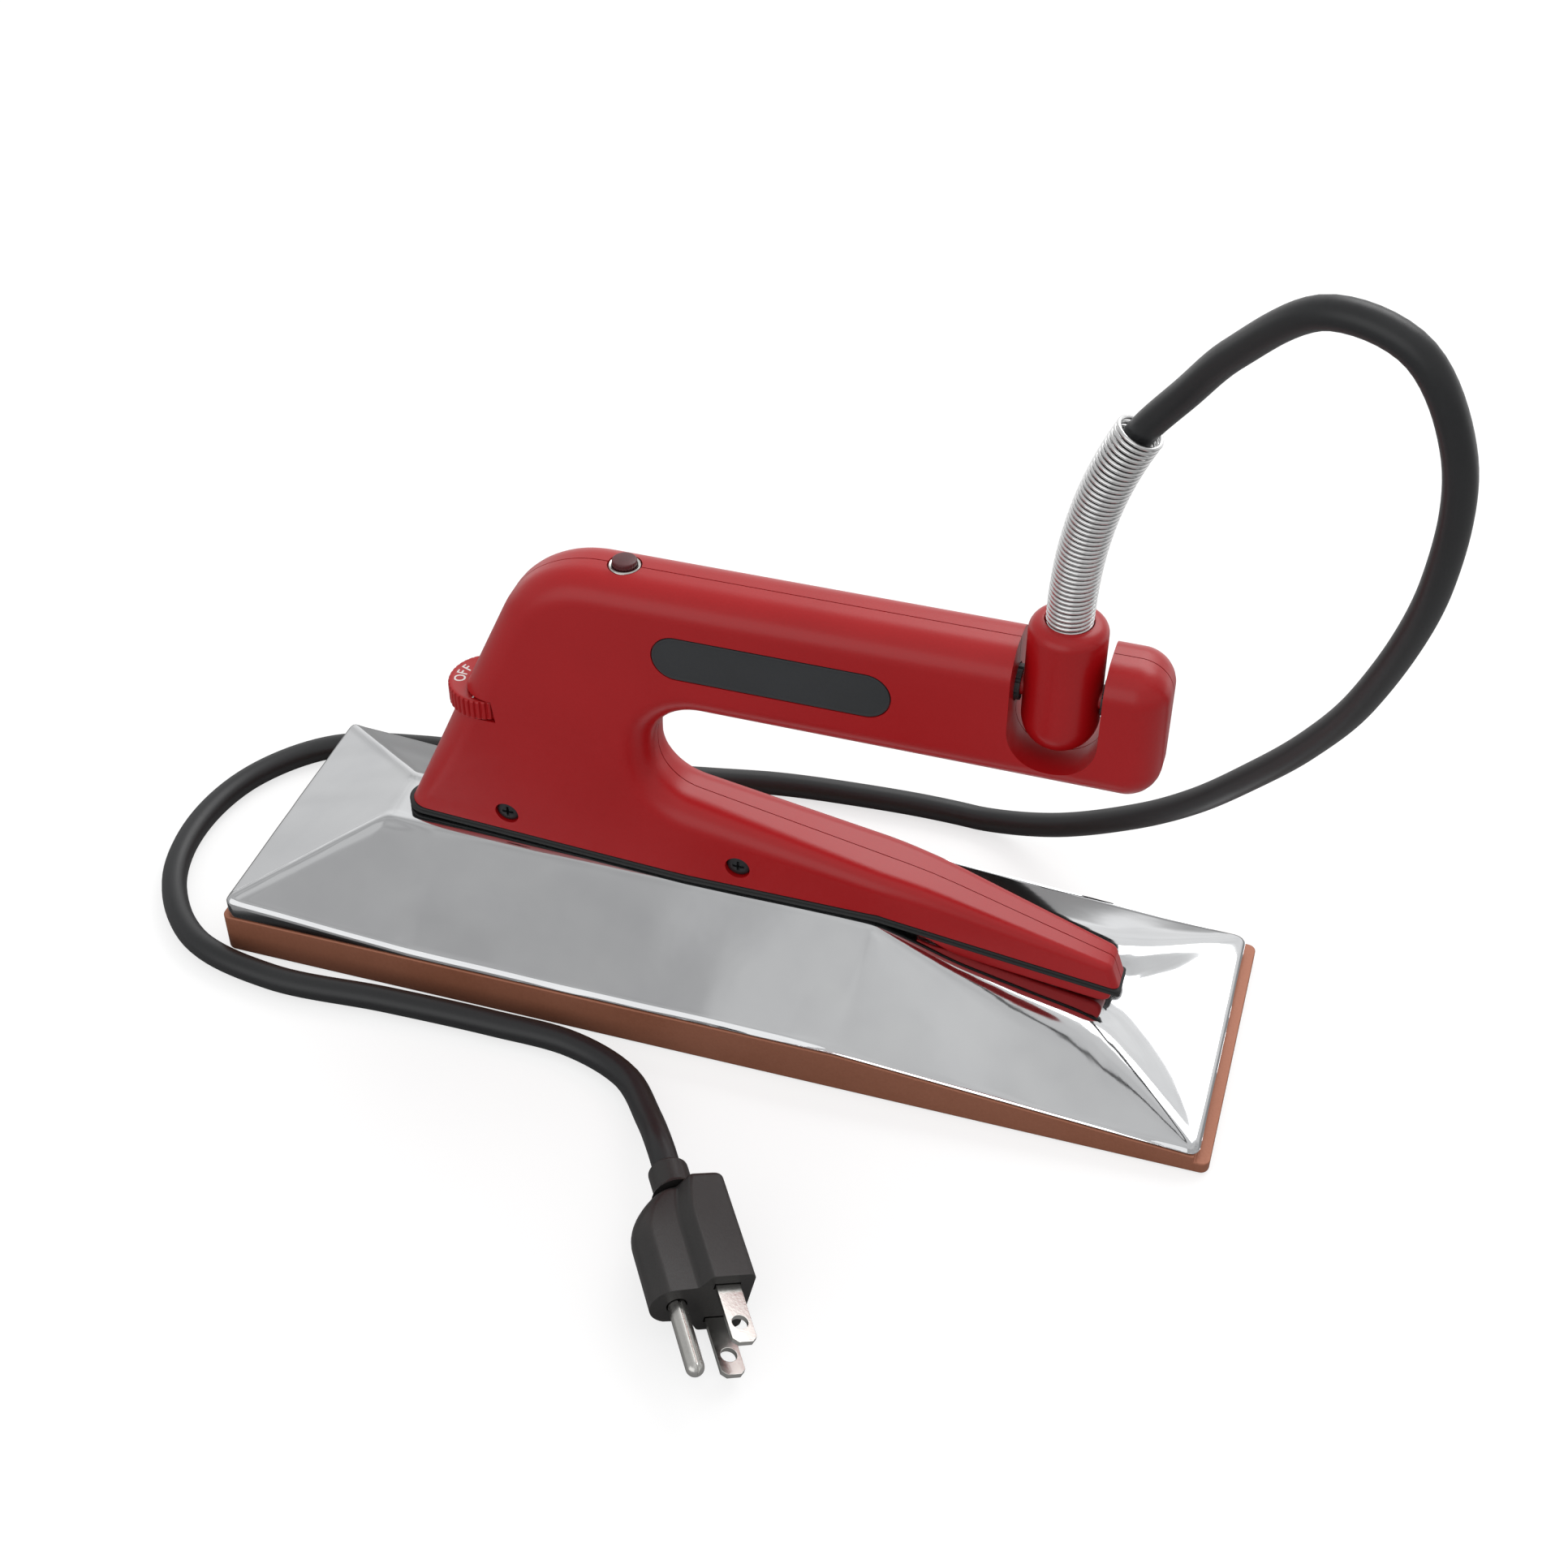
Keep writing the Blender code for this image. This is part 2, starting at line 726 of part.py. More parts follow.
def handle_outline():
    return split_long_edges(fillet_outline(handle_corners()), OUTLINE_STEP)


# Sole plate
def sole_plate():
    rear = LAYOUT_L - LEDGE_L
    outline = [
        (from_nose(0), 0), (from_nose(LAYOUT_L), 0), (from_nose(LAYOUT_L), LEDGE_T), (from_nose(rear), LEDGE_T),
        (from_nose(rear), SOLE_REAR_T), (from_nose(SOLE_TAPER_START), SOLE_T), (from_nose(0), SOLE_T),
    ]
    plate = prism("sole_plate", "coated_sole", outline, -SOLE_W / 2, SOLE_W / 2, lambda u, v, y: (u, y, v))
    bevel(plate, SOLE_EDGE_R)
    for pair in range(GROOVE_PAIRS):
        for side in (-1, 1):
            middle = side * (pair + 0.5) * GROOVE_PITCH
            low = (from_nose(GROOVE_END), middle - GROOVE_W / 2, -OVERRUN)
            high = (from_nose(LAYOUT_L - GROOVE_END), middle + GROOVE_W / 2, GROOVE_D)
            cut(plate, box(f"groove_{pair}_{side}", None, low, high))
    for at in (STUD_AT_1, STUD_AT_2):
        cut(plate, rod(f"stud_hole_{at}", None, (from_nose(at), 0, 0), STUD_R + HOLE_CLEAR,
                       SOLE_T - STUD_DEPTH - GAP, SOLE_T + OVERRUN, sides=SMALL_SIDES))
    for at in (CLAMP_AT_1, CLAMP_AT_2):
        cut(plate, rod(f"clamp_hole_{at}", None, (from_nose(at), 0, 0), CLAMP_SCREW_R + HOLE_CLEAR,
                       SOLE_T - CLAMP_SCREW_DEPTH - GAP, SOLE_T + OVERRUN, sides=SMALL_SIDES))
    return plate


def element_path():
    """The element's centre line: up one terminal, round both sides of the plate and up the other."""
    z = SOLE_T + GAP + ELEMENT_R
    half = [
        (ELEMENT_END, ELEMENT_END_Y, ELEMENT_END_Z, 0),
        (ELEMENT_END, ELEMENT_END_Y, z, ELEMENT_R),
        (ELEMENT_END, ELEMENT_INNER_Y, z, ELEMENT_R),
        (ELEMENT_FRONT, ELEMENT_INNER_Y, z, ELEMENT_BEND_R),
        (ELEMENT_FRONT, ELEMENT_OUTER_Y, z, ELEMENT_BEND_R),
        (ELEMENT_REAR, ELEMENT_OUTER_Y, z, ELEMENT_OUTER_Y / 2),
    ]
    path = [(from_nose(x), y, h, r) for x, y, h, r in half]
    path += [(x, -y, h, r) for x, y, h, r in reversed(path)]
    return rounded_path(path, steps=4)


def rounded_path(path, steps):
    made = []
    for i, (x, y, z, radius) in enumerate(path):
        corner = Vector((x, y, z))
        if radius == 0:
            made.append(corner)
            continue
        back = (Vector(path[i - 1][:3]) - corner).normalized()
        ahead = (Vector(path[i + 1][:3]) - corner).normalized()
        half_opening = back.angle(ahead) / 2
        start = corner + back * radius / math.tan(half_opening)
        centre = corner + (back + ahead).normalized() * radius / math.sin(half_opening)
        for k in range(steps + 1):
            angle = (math.pi - 2 * half_opening) * k / steps
            made.append(centre + (start - centre) * math.cos(angle) - back * radius * math.sin(angle))
    return made


def heating_parts():
    tube("heating_element", "steel", element_path(), ELEMENT_R, 1)
    for name, side in (("terminal_pin_live", -1), ("terminal_pin_neutral", 1)):
        rod(name, "nickel", (from_nose(ELEMENT_END), side * ELEMENT_END_Y, 0), PIN_R, ELEMENT_END_Z + GAP,
            PIN_TOP_Z, sides=SMALL_SIDES)
    low = SOLE_T + GAP + 2 * ELEMENT_R + GAP
    for end, at in (("front", CLAMP_AT_1), ("rear", CLAMP_AT_2)):
        centre = (from_nose(at), 0, 0)
        bar = box(f"element_clamp_{end}", "steel", (from_nose(at - CLAMP_L / 2), -CLAMP_HALF_W, low),
                  (from_nose(at + CLAMP_L / 2), CLAMP_HALF_W, low + CLAMP_T))
        cut(bar, rod(f"clamp_bore_{end}", None, centre, CLAMP_SCREW_R + HOLE_CLEAR, low - OVERRUN,
                     low + CLAMP_T + OVERRUN, sides=SMALL_SIDES))
        head = low + CLAMP_T + GAP
        profile = [(CLAMP_SCREW_R, SOLE_T - CLAMP_SCREW_DEPTH), (CLAMP_SCREW_R, head), (SCREW_HEAD_R, head),
                   (SCREW_HEAD_R, head + SCREW_HEAD_T)]
        turned(f"clamp_screw_{end}", "steel", profile, centre, sides=SMALL_SIDES)


# Heat shield
def shoulder_z(x):
    mid = SOLE_TAPER_START
    if x < mid:
        return SHOULDER_NOSE_Z + (SHOULDER_MID_Z - SHOULDER_NOSE_Z) * x / mid
    return SHOULDER_MID_Z + (SHOULDER_REAR_Z - SHOULDER_MID_Z) * (x - mid) / (LAYOUT_L - SHIELD_REAR_INSET - mid)


def sole_top(x):
    """Height of the surface that the shield's skirt stands on."""
    if x < SOLE_TAPER_START:
        return SOLE_T
    rear = LAYOUT_L - LEDGE_L
    share = min(1, (x - SOLE_TAPER_START) / (rear - SOLE_TAPER_START))
    return SOLE_T + (SOLE_REAR_T - SOLE_T) * share


def ridge_point(station, side):
    """A point on the ridge, for a side of -1 or 1 at its edges and less between them.

    It is level over the front stations. Over the rear ones a valley falls between two hips that spread apart.
    """
    if station <= FRONT_STATIONS:
        x = RIDGE_NOSE + (RIDGE_DROP - RIDGE_NOSE) * station / FRONT_STATIONS
        return Vector((x, side * RIDGE_HALF_W, RIDGE_Z))
    reach = (station - FRONT_STATIONS) / REAR_STATIONS
    x = RIDGE_DROP + (RIDGE_REAR - RIDGE_DROP) * reach
    half = RIDGE_HALF_W + (RIDGE_REAR_HALF_W - RIDGE_HALF_W) * reach
    if abs(side) == 1:
        return Vector((x, side * half, RIDGE_Z + (RIDGE_REAR_Z - RIDGE_Z) * reach))
    sag = VALLEY_DEPTH * math.sin(math.pi * reach) ** 2
    return Vector((x, side * half, RIDGE_Z + (VALLEY_REAR_Z - RIDGE_Z) * reach - sag * (1 - reach)))


def shoulder_x(station):
    front = SHIELD_NOSE_INSET + SHIELD_CORNER_R
    rear = LAYOUT_L - SHIELD_REAR_INSET - SHIELD_CORNER_R
    if station <= FRONT_STATIONS:
        return front + (SOLE_TAPER_START - front) * station / FRONT_STATIONS
    return SOLE_TAPER_START + (rear - SOLE_TAPER_START) * (station - FRONT_STATIONS) / REAR_STATIONS


def shoulder_ring():
    """Places round the shield's shoulder, each with the ridge point it slopes up to, as (x, y, ridge)."""
    half = SOLE_W / 2 - SHIELD_INSET
    r = SHIELD_CORNER_R
    last = FRONT_STATIONS + REAR_STATIONS
    made = []
    for side in (-1, 1):
        end = last if side < 0 else 0
        stations = range(last + 1) if side < 0 else range(last, -1, -1)
        made += [(shoulder_x(k), side * half, ridge_point(k, side)) for k in stations]
        corner = []
        for k in range(1, CORNER_STEPS + 1):
            angle = math.pi / 2 * k / CORNER_STEPS
            corner.append((r * math.sin(angle), half - r + r * math.cos(angle)))
        outward = -side
        middle = shoulder_x(end) + outward * r
        made += [(shoulder_x(end) + outward * out, side * y, ridge_point(end, side)) for out, y in corner]
        for inner in (VALLEY_WIDTH_SHARE, -VALLEY_WIDTH_SHARE):
            made.append((middle, side * inner * half, ridge_point(end, side * inner)))
        made += [(shoulder_x(end) + outward * out, -side * y, ridge_point(end, -side))
                 for out, y in reversed(corner)]
    return made


def heat_shield():
    """Skirt, sloping faces and the ridge, as one sheet with a thickness."""
    stations = shoulder_ring()
    count = len(stations)
    verts = [Vector((x, y, sole_top(x) + GAP)) for x, y, _ in stations]
    verts += [Vector((x, y, shoulder_z(x))) for x, y, _ in stations]
    last = FRONT_STATIONS + REAR_STATIONS
    row = {}
    sides = (-1, -VALLEY_WIDTH_SHARE, VALLEY_WIDTH_SHARE, 1)
    for side in sides:
        for station in range(last + 1):
            point = ridge_point(station, side)
            row[tuple(point)] = len(verts)
            verts.append(point)
    faces = []
    for i in range(count):
        j = (i + 1) % count
        faces.append((i, j, count + j, count + i))
        top, ahead = row[tuple(stations[i][2])], row[tuple(stations[j][2])]
        faces.append((count + i, count + j, ahead, top) if top != ahead else (count + i, count + j, top))
    for near, far in zip(sides, sides[1:]):
        for station in range(last):
            corners = [(station, near), (station + 1, near), (station + 1, far), (station, far)]
            faces.append(tuple(row[tuple(ridge_point(*corner))] for corner in corners))
    for vert in verts:
        vert.x = from_nose(vert.x)
    shield = add_mesh("heat_shield", "chrome", verts, faces)
    thicken = shield.modifiers.new("sheet", "SOLIDIFY")
    thicken.thickness = SHEET_T
    thicken.offset = -1
    thicken.use_even_offset = True
    for i, (at, y, radius) in enumerate(ridge_holes()):
        cut(shield, rod(f"shield_hole_{i}", None, (from_nose(at), y, 0), radius, RIDGE_Z - SPACER_R,
                        RIDGE_Z + OVERRUN, sides=SMALL_SIDES))
    return shield


def ridge_holes():
    """What passes through the ridge and the gasket: studs, the dial's shaft and the terminal pins."""
    return [
        (STUD_AT_1, 0, STUD_R + HOLE_CLEAR),
        (STUD_AT_2, 0, STUD_R + HOLE_CLEAR),
        (DIAL_AT, 0, SHAFT_R + 2 * HOLE_CLEAR),
        (ELEMENT_END, ELEMENT_END_Y, PIN_R + 2 * HOLE_CLEAR),
        (ELEMENT_END, -ELEMENT_END_Y, PIN_R + 2 * HOLE_CLEAR),
    ]


# Gasket and tail cover
def foot_plan(front, rear, extra, stations=14):
    """Plan outline of the handle's foot, drawn out or in by extra: a round nose, then the shells' width."""
    core = min(EDGE_R, half_width(front, FOOT_Z)) - GAP
    nose = core + extra
    made = []
    for side in (-1, 1):
        row = []
        for k in range(5):
            angle = math.pi / 2 * (k + 0.5) / 5
            x = front + nose * (1 - math.cos(angle))
            row.append((x, side * (half_width(x, FOOT_Z) - core + nose * math.sin(angle))))
        for k in range(stations + 1):
            x = front + nose + (rear - front - nose) * k / stations
            row.append((x, side * (half_width(x, FOOT_Z) + extra)))
        made += row if side < 0 else row[::-1]
    return made


def slanted_plate(name, kind, plan, top_of, thickness):
    count = len(plan)
    verts = [Vector((from_nose(x), y, top_of(x) - thickness(x))) for x, y in plan]
    verts += [Vector((from_nose(x), y, top_of(x))) for x, y in plan]
    half = count // 2
    faces = []
    for i in range(count):
        j = (i + 1) % count
        faces.append((i, j, count + j, count + i))
    for k in range(half - 1):
        a, b, c, d = k, k + 1, count - 2 - k, count - 1 - k
        faces.append((a, b, c, d))
        faces.append((count + a, count + b, count + c, count + d))
    return add_mesh(name, kind, verts, faces, smooth=False)


def gasket():
    level = foot_plan(GASKET_NOSE, KINK, GASKET_PROUD, 9)
    half = len(level) // 2
    tail = [(KINK + (TAIL_REAR + GASKET_PROUD - KINK) * k / 6) for k in range(1, 7)]
    plan = level[:half]
    plan += [(x, -half_width(x, FOOT_Z) - GASKET_PROUD) for x in tail]
    plan += [(x, half_width(x, FOOT_Z) + GASKET_PROUD) for x in reversed(tail)]
    plan += level[half:]
    made = slanted_plate("base_gasket", "black_rubber", plan, lambda x: foot_line(x) - GAP,
                         lambda x: GASKET_T)
    for i, (at, y, radius) in enumerate(ridge_holes()):
        cut(made, rod(f"gasket_hole_{i}", None, (from_nose(at), y, 0), radius, GASKET_Z - OVERRUN,
                      FOOT_Z + OVERRUN, sides=SMALL_SIDES))
    return made


def cover_depth(x):
    """The cover under the tail is thin at its front end, soon reaches its full depth and has a round rear end."""
    share = min(1, (x - COVER_START) / (COVER_FULL - COVER_START))
    past = max(0, x - COVER_REAR + COVER_T) / COVER_T
    full = COVER_FRONT_T + (COVER_T - COVER_FRONT_T) * math.sqrt(1 - min(1, past) ** 2)
    return COVER_FRONT_T + (full - COVER_FRONT_T) * share


def tail_cover():
    plan = []
    xs = [COVER_START, (COVER_START + COVER_FULL) / 2]
    xs += [COVER_FULL + (COVER_REAR - COVER_T - COVER_FULL) * k / 3 for k in range(4)]
    xs += [COVER_REAR - COVER_T * (1 - math.sin(math.pi / 2 * k / 4)) for k in range(1, 5)]
    plan += [(x, -half_width(x, FOOT_Z) + COVER_INSET) for x in xs]
    plan += [(x, half_width(x, FOOT_Z) - COVER_INSET) for x in reversed(xs)]
    made = slanted_plate("tail_cover", "red_plastic", plan, lambda x: foot_line(x) - 2 * GAP - GASKET_T,
                         cover_depth)
    bevel(made, COVER_FRONT_T / 3, segments=1)
    return made


# Handle shells
def notch_cutter(name):
    """The U-shaped notch for the gland, open above and at both sides."""
    x = from_nose(GLAND_AT)
    top = GRIP_TOP_Z + OVERRUN
    centre = NOTCH_FLOOR_Z + NOTCH_HALF_L
    outline = [(x + NOTCH_HALF_L, top), (x - NOTCH_HALF_L, top)]
    for k in range(13):
        angle = math.pi + math.pi * k / 12
        outline.append((x + NOTCH_HALF_L * math.cos(angle), centre + NOTCH_HALF_L * math.sin(angle)))
    reach = HANDLE_HALF_W + OVERRUN
    return prism(name, None, outline, -reach, reach, lambda u, v, y: (u, y, v))


def stadium(length, height, steps=8):
    made = []
    r = height / 2
    for end in (1, -1):
        for k in range(steps + 1):
            angle = -math.pi / 2 + math.pi * k / steps
            made.append((end * (length / 2 - r + r * math.cos(angle)), end * r * math.sin(angle)))
    return made


def label_centre():
    return from_nose(LABEL_FRONT + LABEL_L / 2)


def label_outline(extra):
    return [(label_centre() + u, LABEL_Z + v) for u, v in stadium(LABEL_L + 2 * extra, LABEL_H + 2 * extra)]


def shell_screw_places():
    return [(SHELL_SCREW_1, SHELL_SCREW_1_Z), (SHELL_SCREW_2, SHELL_SCREW_2_Z)]


def screw_posts():
    return shell_screw_places() + [(LABEL_FRONT + LABEL_L / 2, LABEL_Z)]


def screw_seat_y(x, z):
    """Y of the outer wall where a screw head sits, on the label side."""
    return -half_width(x, z)


def foot_cutter(name):
    """Everything below the foot line, which takes off the lower ends of the rounded edges."""
    front = from_nose(front_x(UNDERCUT_Z)) - OVERRUN
    behind = TAIL_REAR + EDGE_R
    rear = from_nose(behind)
    low = UNDERCUT_Z - OVERRUN
    outline = [(front, low), (rear, low), (rear, foot_line(behind)), (from_nose(KINK), FOOT_Z), (front, FOOT_Z)]
    reach = HANDLE_HALF_W + OVERRUN
    return prism(name, None, outline, -reach, reach, lambda u, v, y: (u, y, v))


def handle_shell(name, side):
    outline = handle_outline()
    radii = [edge_radius(p) for p in outline]
    shell = handle_solid(name, "red_plastic", side, outline, radii, half_width, SEAM_GAP / 2, rings=4)
    inner = split_long_edges(fillet_outline(cavity_corners()), OUTLINE_STEP)
    inner_radii = [edge_radius(p) - WALL for p in inner]
    hollow = handle_solid(f"{name}_hollow", None, side, inner, inner_radii, inner_half_width, -OVERRUN, rings=2)
    reach = HANDLE_HALF_W + OVERRUN
    for i, (x, z) in enumerate(screw_posts()):
        cut(hollow, rod(f"{name}_post_{i}", None, (from_nose(x), 0, z), POST_R, -reach, reach, axis="Y",
                        sides=SMALL_SIDES))
    cut(shell, hollow, foot_cutter(f"{name}_foot"))
    cut(shell, notch_cutter(f"{name}_notch"))
    socket = rod(f"{name}_bush_socket", None, (from_nose(GLAND_AT), 0, PIVOT_Z), BUSH_R + HOLE_CLEAR,
                 -NOTCH_HALF_L - GRIP_BULKHEAD - OVERRUN, NOTCH_HALF_L + BUSH_DEPTH + GAP, axis="X")
    cut(shell, socket)
    slot = rod(f"{name}_dial_slot", None, (from_nose(DIAL_AT), 0, 0), DIAL_R + DIAL_SLOT_R,
               DIAL_TOP_Z - DIAL_T - DIAL_SLOT_Z, DIAL_TOP_Z + DIAL_SLOT_Z)
    shaft = rod(f"{name}_shaft_way", None, (from_nose(DIAL_AT), 0, 0), SHAFT_R + HOLE_CLEAR, UNDERCUT_Z,
                DIAL_TOP_Z - DIAL_T, sides=SMALL_SIDES)
    cut(shell, slot, shaft)
    lamp = turned(f"{name}_lamp_hole", None, [
        (BEZEL_TUBE_R + HOLE_CLEAR, GRIP_TOP_Z - WALL - BEZEL_R), (BEZEL_TUBE_R + HOLE_CLEAR, PILOT_SEAT_Z),
        (BEZEL_R + GAP, PILOT_SEAT_Z), (BEZEL_R + GAP, GRIP_TOP_Z + OVERRUN)], (from_nose(PILOT_AT), 0, 0))
    cut(shell, lamp)
    for i, (x, z) in enumerate(screw_posts()):
        bore = SHELL_SCREW_R + HOLE_CLEAR
        start = screw_seat_y(x, z)
        depth = LABEL_DEPTH if z == LABEL_Z else HEAD_RECESS
        seat = start + depth + SCREW_HEAD_T
        profile = [(SCREW_HEAD_R + HOLE_CLEAR, start - OVERRUN), (SCREW_HEAD_R + HOLE_CLEAR, seat), (bore, seat),
                   (bore, start + depth + SHELL_SCREW_L + GAP)]
        cut(shell, turned(f"{name}_screw_hole_{i}", None, profile, (from_nose(x), 0, z), "Y", SMALL_SIDES))
    if side < 0:
        cut(shell, prism(f"{name}_label_seat", None, label_outline(LABEL_CLEAR), -HANDLE_HALF_W - OVERRUN,
                         -HANDLE_HALF_W + LABEL_DEPTH, lambda u, v, y: (u, y, v)))
    return shell


def inner_half_width(x, z):
    return half_width(x, z) - WALL


# Fasteners in the handle
def screw(name, kind, x, z, start):
    """A pan-head screw along +Y with a cross recess in its head."""
    head = start + SCREW_HEAD_T - GAP
    dome = SCREW_HEAD_T / 3
    profile = [(0, start), (SCREW_HEAD_R * 0.8, start), (SCREW_HEAD_R, start + dome), (SCREW_HEAD_R, head),
               (SHELL_SCREW_R, head), (SHELL_SCREW_R, start + SHELL_SCREW_L)]
    made = turned(name, kind, profile, (from_nose(x), 0, z), "Y", SMALL_SIDES)
    for turn in (0, 1):
        wide, tall = (CROSS_L, CROSS_W) if turn else (CROSS_W, CROSS_L)
        low = (from_nose(x) - wide / 2, start - OVERRUN, z - tall / 2)
        high = (from_nose(x) + wide / 2, start + CROSS_D, z + tall / 2)
        cut(made, box(f"{name}_cross_{turn}", None, low, high))
    return made


def shell_screws():
    for name, (x, z) in zip(("shell_screw_front", "shell_screw_rear"), shell_screw_places()):
        screw(name, "black_plastic", x, z, screw_seat_y(x, z) + HEAD_RECESS)
    x, z = screw_posts()[-1]
    screw("grip_screw", "steel", x, z, screw_seat_y(x, z) + LABEL_DEPTH)


def label_plate():
    low = -HANDLE_HALF_W + LABEL_DEPTH - GAP - LABEL_T
    plate = prism("label_plate", "black_plastic", label_outline(0), low, low + LABEL_T, lambda u, v, y: (u, y, v))
    return plate


def handle_mounting():
    for end, at in (("front", STUD_AT_1), ("rear", STUD_AT_2)):
        centre = (from_nose(at), 0, 0)
        rod(f"mounting_stud_{end}", "steel", centre, STUD_R, SOLE_T - STUD_DEPTH, STUD_TOP_Z, sides=SMALL_SIDES)
        tube_ring(f"stud_spacer_{end}", "steel", centre, SPACER_R, STUD_R + HOLE_CLEAR, SOLE_T + GAP,
                  RIDGE_Z - SHEET_T - GAP, sides=SMALL_SIDES)
        low = BAR_Z + BAR_T + GAP
        nut = rod(f"stud_nut_{end}", "steel", centre, NUT_R, low, low + NUT_T, sides=6)
        cut(nut, rod(f"nut_bore_{end}", None, centre, STUD_R + GAP, low - OVERRUN, low + NUT_T + OVERRUN,
                     sides=SMALL_SIDES))
    bar = box("clamp_bar", "steel", (from_nose(STUD_AT_1 - BAR_END), -BAR_HALF_W, BAR_Z),
              (from_nose(STUD_AT_2 + BAR_END), BAR_HALF_W, BAR_Z + BAR_T))
    for at in (STUD_AT_1, STUD_AT_2):
        cut(bar, rod(f"bar_hole_{at}", None, (from_nose(at), 0, 0), STUD_R + HOLE_CLEAR, BAR_Z - OVERRUN,
                     BAR_Z + BAR_T + OVERRUN, sides=SMALL_SIDES))


# Thermostat
def thermostat():
    x = from_nose(DIAL_AT)
    low = SOLE_T + GAP + BRACKET_T + GAP
    body = box("thermostat_body", "ceramic", (x - THERMOSTAT_L / 2, -THERMOSTAT_W / 2, low),
               (x + THERMOSTAT_L / 2, THERMOSTAT_W / 2, low + THERMOSTAT_H))
    bevel(body, THERMOSTAT_EDGE_R, segments=1)
    bore = low + THERMOSTAT_H / 2
    cut(body, rod("thermostat_bore", None, (x, 0, 0), SHAFT_R + GAP, bore, low + THERMOSTAT_H + OVERRUN,
                  sides=SMALL_SIDES))
    front = from_nose(CLAMP_AT_1) + CLAMP_SCREW_R + BRACKET_CLEAR
    box("thermostat_bracket", "steel", (front, -THERMOSTAT_W / 2, SOLE_T + GAP),
        (x + THERMOSTAT_L / 2, THERMOSTAT_W / 2, SOLE_T + GAP + BRACKET_T))
    dial_low = DIAL_TOP_Z - DIAL_T
    shaft = rod("thermostat_shaft", "steel", (x, 0, 0), SHAFT_R, bore + GAP, dial_low + DIAL_T / 2 - GAP,
                sides=SMALL_SIDES)
    pivot("dial_axis", (x, 0, dial_low), [shaft, dial(x, dial_low)])


def dial(x, low):
    """A thumb wheel with a knurled rim, on the shaft's top end."""
    rim = []
    for k in range(DIAL_KNURLS):
        for part, radius in ((0, DIAL_R), (0.5, DIAL_R), (0.62, DIAL_R - KNURL_D), (0.88, DIAL_R - KNURL_D)):
            angle = math.tau * (k + part) / DIAL_KNURLS
            rim.append((radius * math.cos(angle), radius * math.sin(angle)))
    wheel = prism("thermostat_dial", "red_plastic", rim, low, DIAL_TOP_Z, lambda u, v, z: (u, v, z), smooth=False)
    wheel.location = (x, 0, 0)
    cut(wheel, rod("dial_bore", None, (x, 0, 0), SHAFT_R + GAP, low - OVERRUN, low + DIAL_T / 2, sides=SMALL_SIDES))
    return wheel


# Pilot lamp
def pilot_lamp():
    centre = (from_nose(PILOT_AT), 0, 0)
    seat = PILOT_SEAT_Z + GAP
    low = seat - BEZEL_DEPTH
    ring("pilot_bezel", "chrome", [
        (BEZEL_TUBE_R, low), (BEZEL_TUBE_R, seat), (BEZEL_R, seat), (BEZEL_R, seat + BEZEL_T * 0.6),
        (BEZEL_R - BEZEL_T * 0.4, seat + BEZEL_T), (BEZEL_BORE_R, seat + BEZEL_T), (BEZEL_BORE_R, low)], centre)
    r = BEZEL_BORE_R - GAP
    top = seat + BEZEL_T + LENS_PROUD
    base = seat - BEZEL_T
    turned("pilot_lens", "lens", [
        (0, base), (r, base), (r, top - LENS_PROUD / 2), (r * 0.8, top - LENS_PROUD * 0.12), (0, top)], centre)
    turned("pilot_lamp", "glass", [
        (0, base - GAP - LAMP_L), (LAMP_R, base - GAP - LAMP_L), (LAMP_R, base - GAP - LAMP_R / 2),
        (LAMP_R / 2, base - GAP), (0, base - GAP)], centre, sides=SMALL_SIDES)


# Swivel gland
def gland():
    x = from_nose(GLAND_AT)
    centre = (x, 0, 0)
    profile = [(0, GLAND_BALL_Z - GLAND_R)]
    for k in range(1, 7):
        angle = math.pi / 2 * k / 6
        profile.append((GLAND_R * math.sin(angle), GLAND_BALL_Z - GLAND_R * math.cos(angle)))
    for k in range(5):
        angle = math.pi / 2 * k / 4
        profile.append((GLAND_R - GLAND_TOP_R * (1 - math.cos(angle)),
                        GLAND_TOP_Z - GLAND_TOP_R * (1 - math.sin(angle))))
    barrel = turned("gland_barrel", "red_plastic", profile, centre)
    reach = NOTCH_HALF_L + BUSH_DEPTH - GAP
    trunnion = (x, 0, PIVOT_Z)
    join(barrel, rod("gland_stubs", None, trunnion, STUB_R, -reach, reach, axis="X", sides=SMALL_SIDES))
    bores = turned("gland_bores", None, [
        (CORD_BORE_R, CORD_END_Z - GAP), (CORD_BORE_R, SPRING_SEAT_Z), (SPRING_BORE_R, SPRING_SEAT_Z),
        (SPRING_BORE_R, GLAND_TOP_Z + OVERRUN)], centre)
    cut(barrel, bores)
    cut(barrel, rod("lead_bore", None, trunnion, STUB_BORE_R, -reach - OVERRUN, 0, axis="X", sides=SMALL_SIDES))
    for name, side in (("gland_bush_front", -1), ("gland_bush_rear", 1)):
        near = bush_face()
        ends = sorted((side * near, side * (NOTCH_HALF_L + BUSH_DEPTH)))
        tube_ring(name, "black_plastic", trunnion, BUSH_R, BUSH_BORE_R, *ends, axis="X")
    return barrel


def bush_face():
    """How far from the gland's axis the bushes start, just clear of the barrel's wall."""
    return GLAND_R + GAP


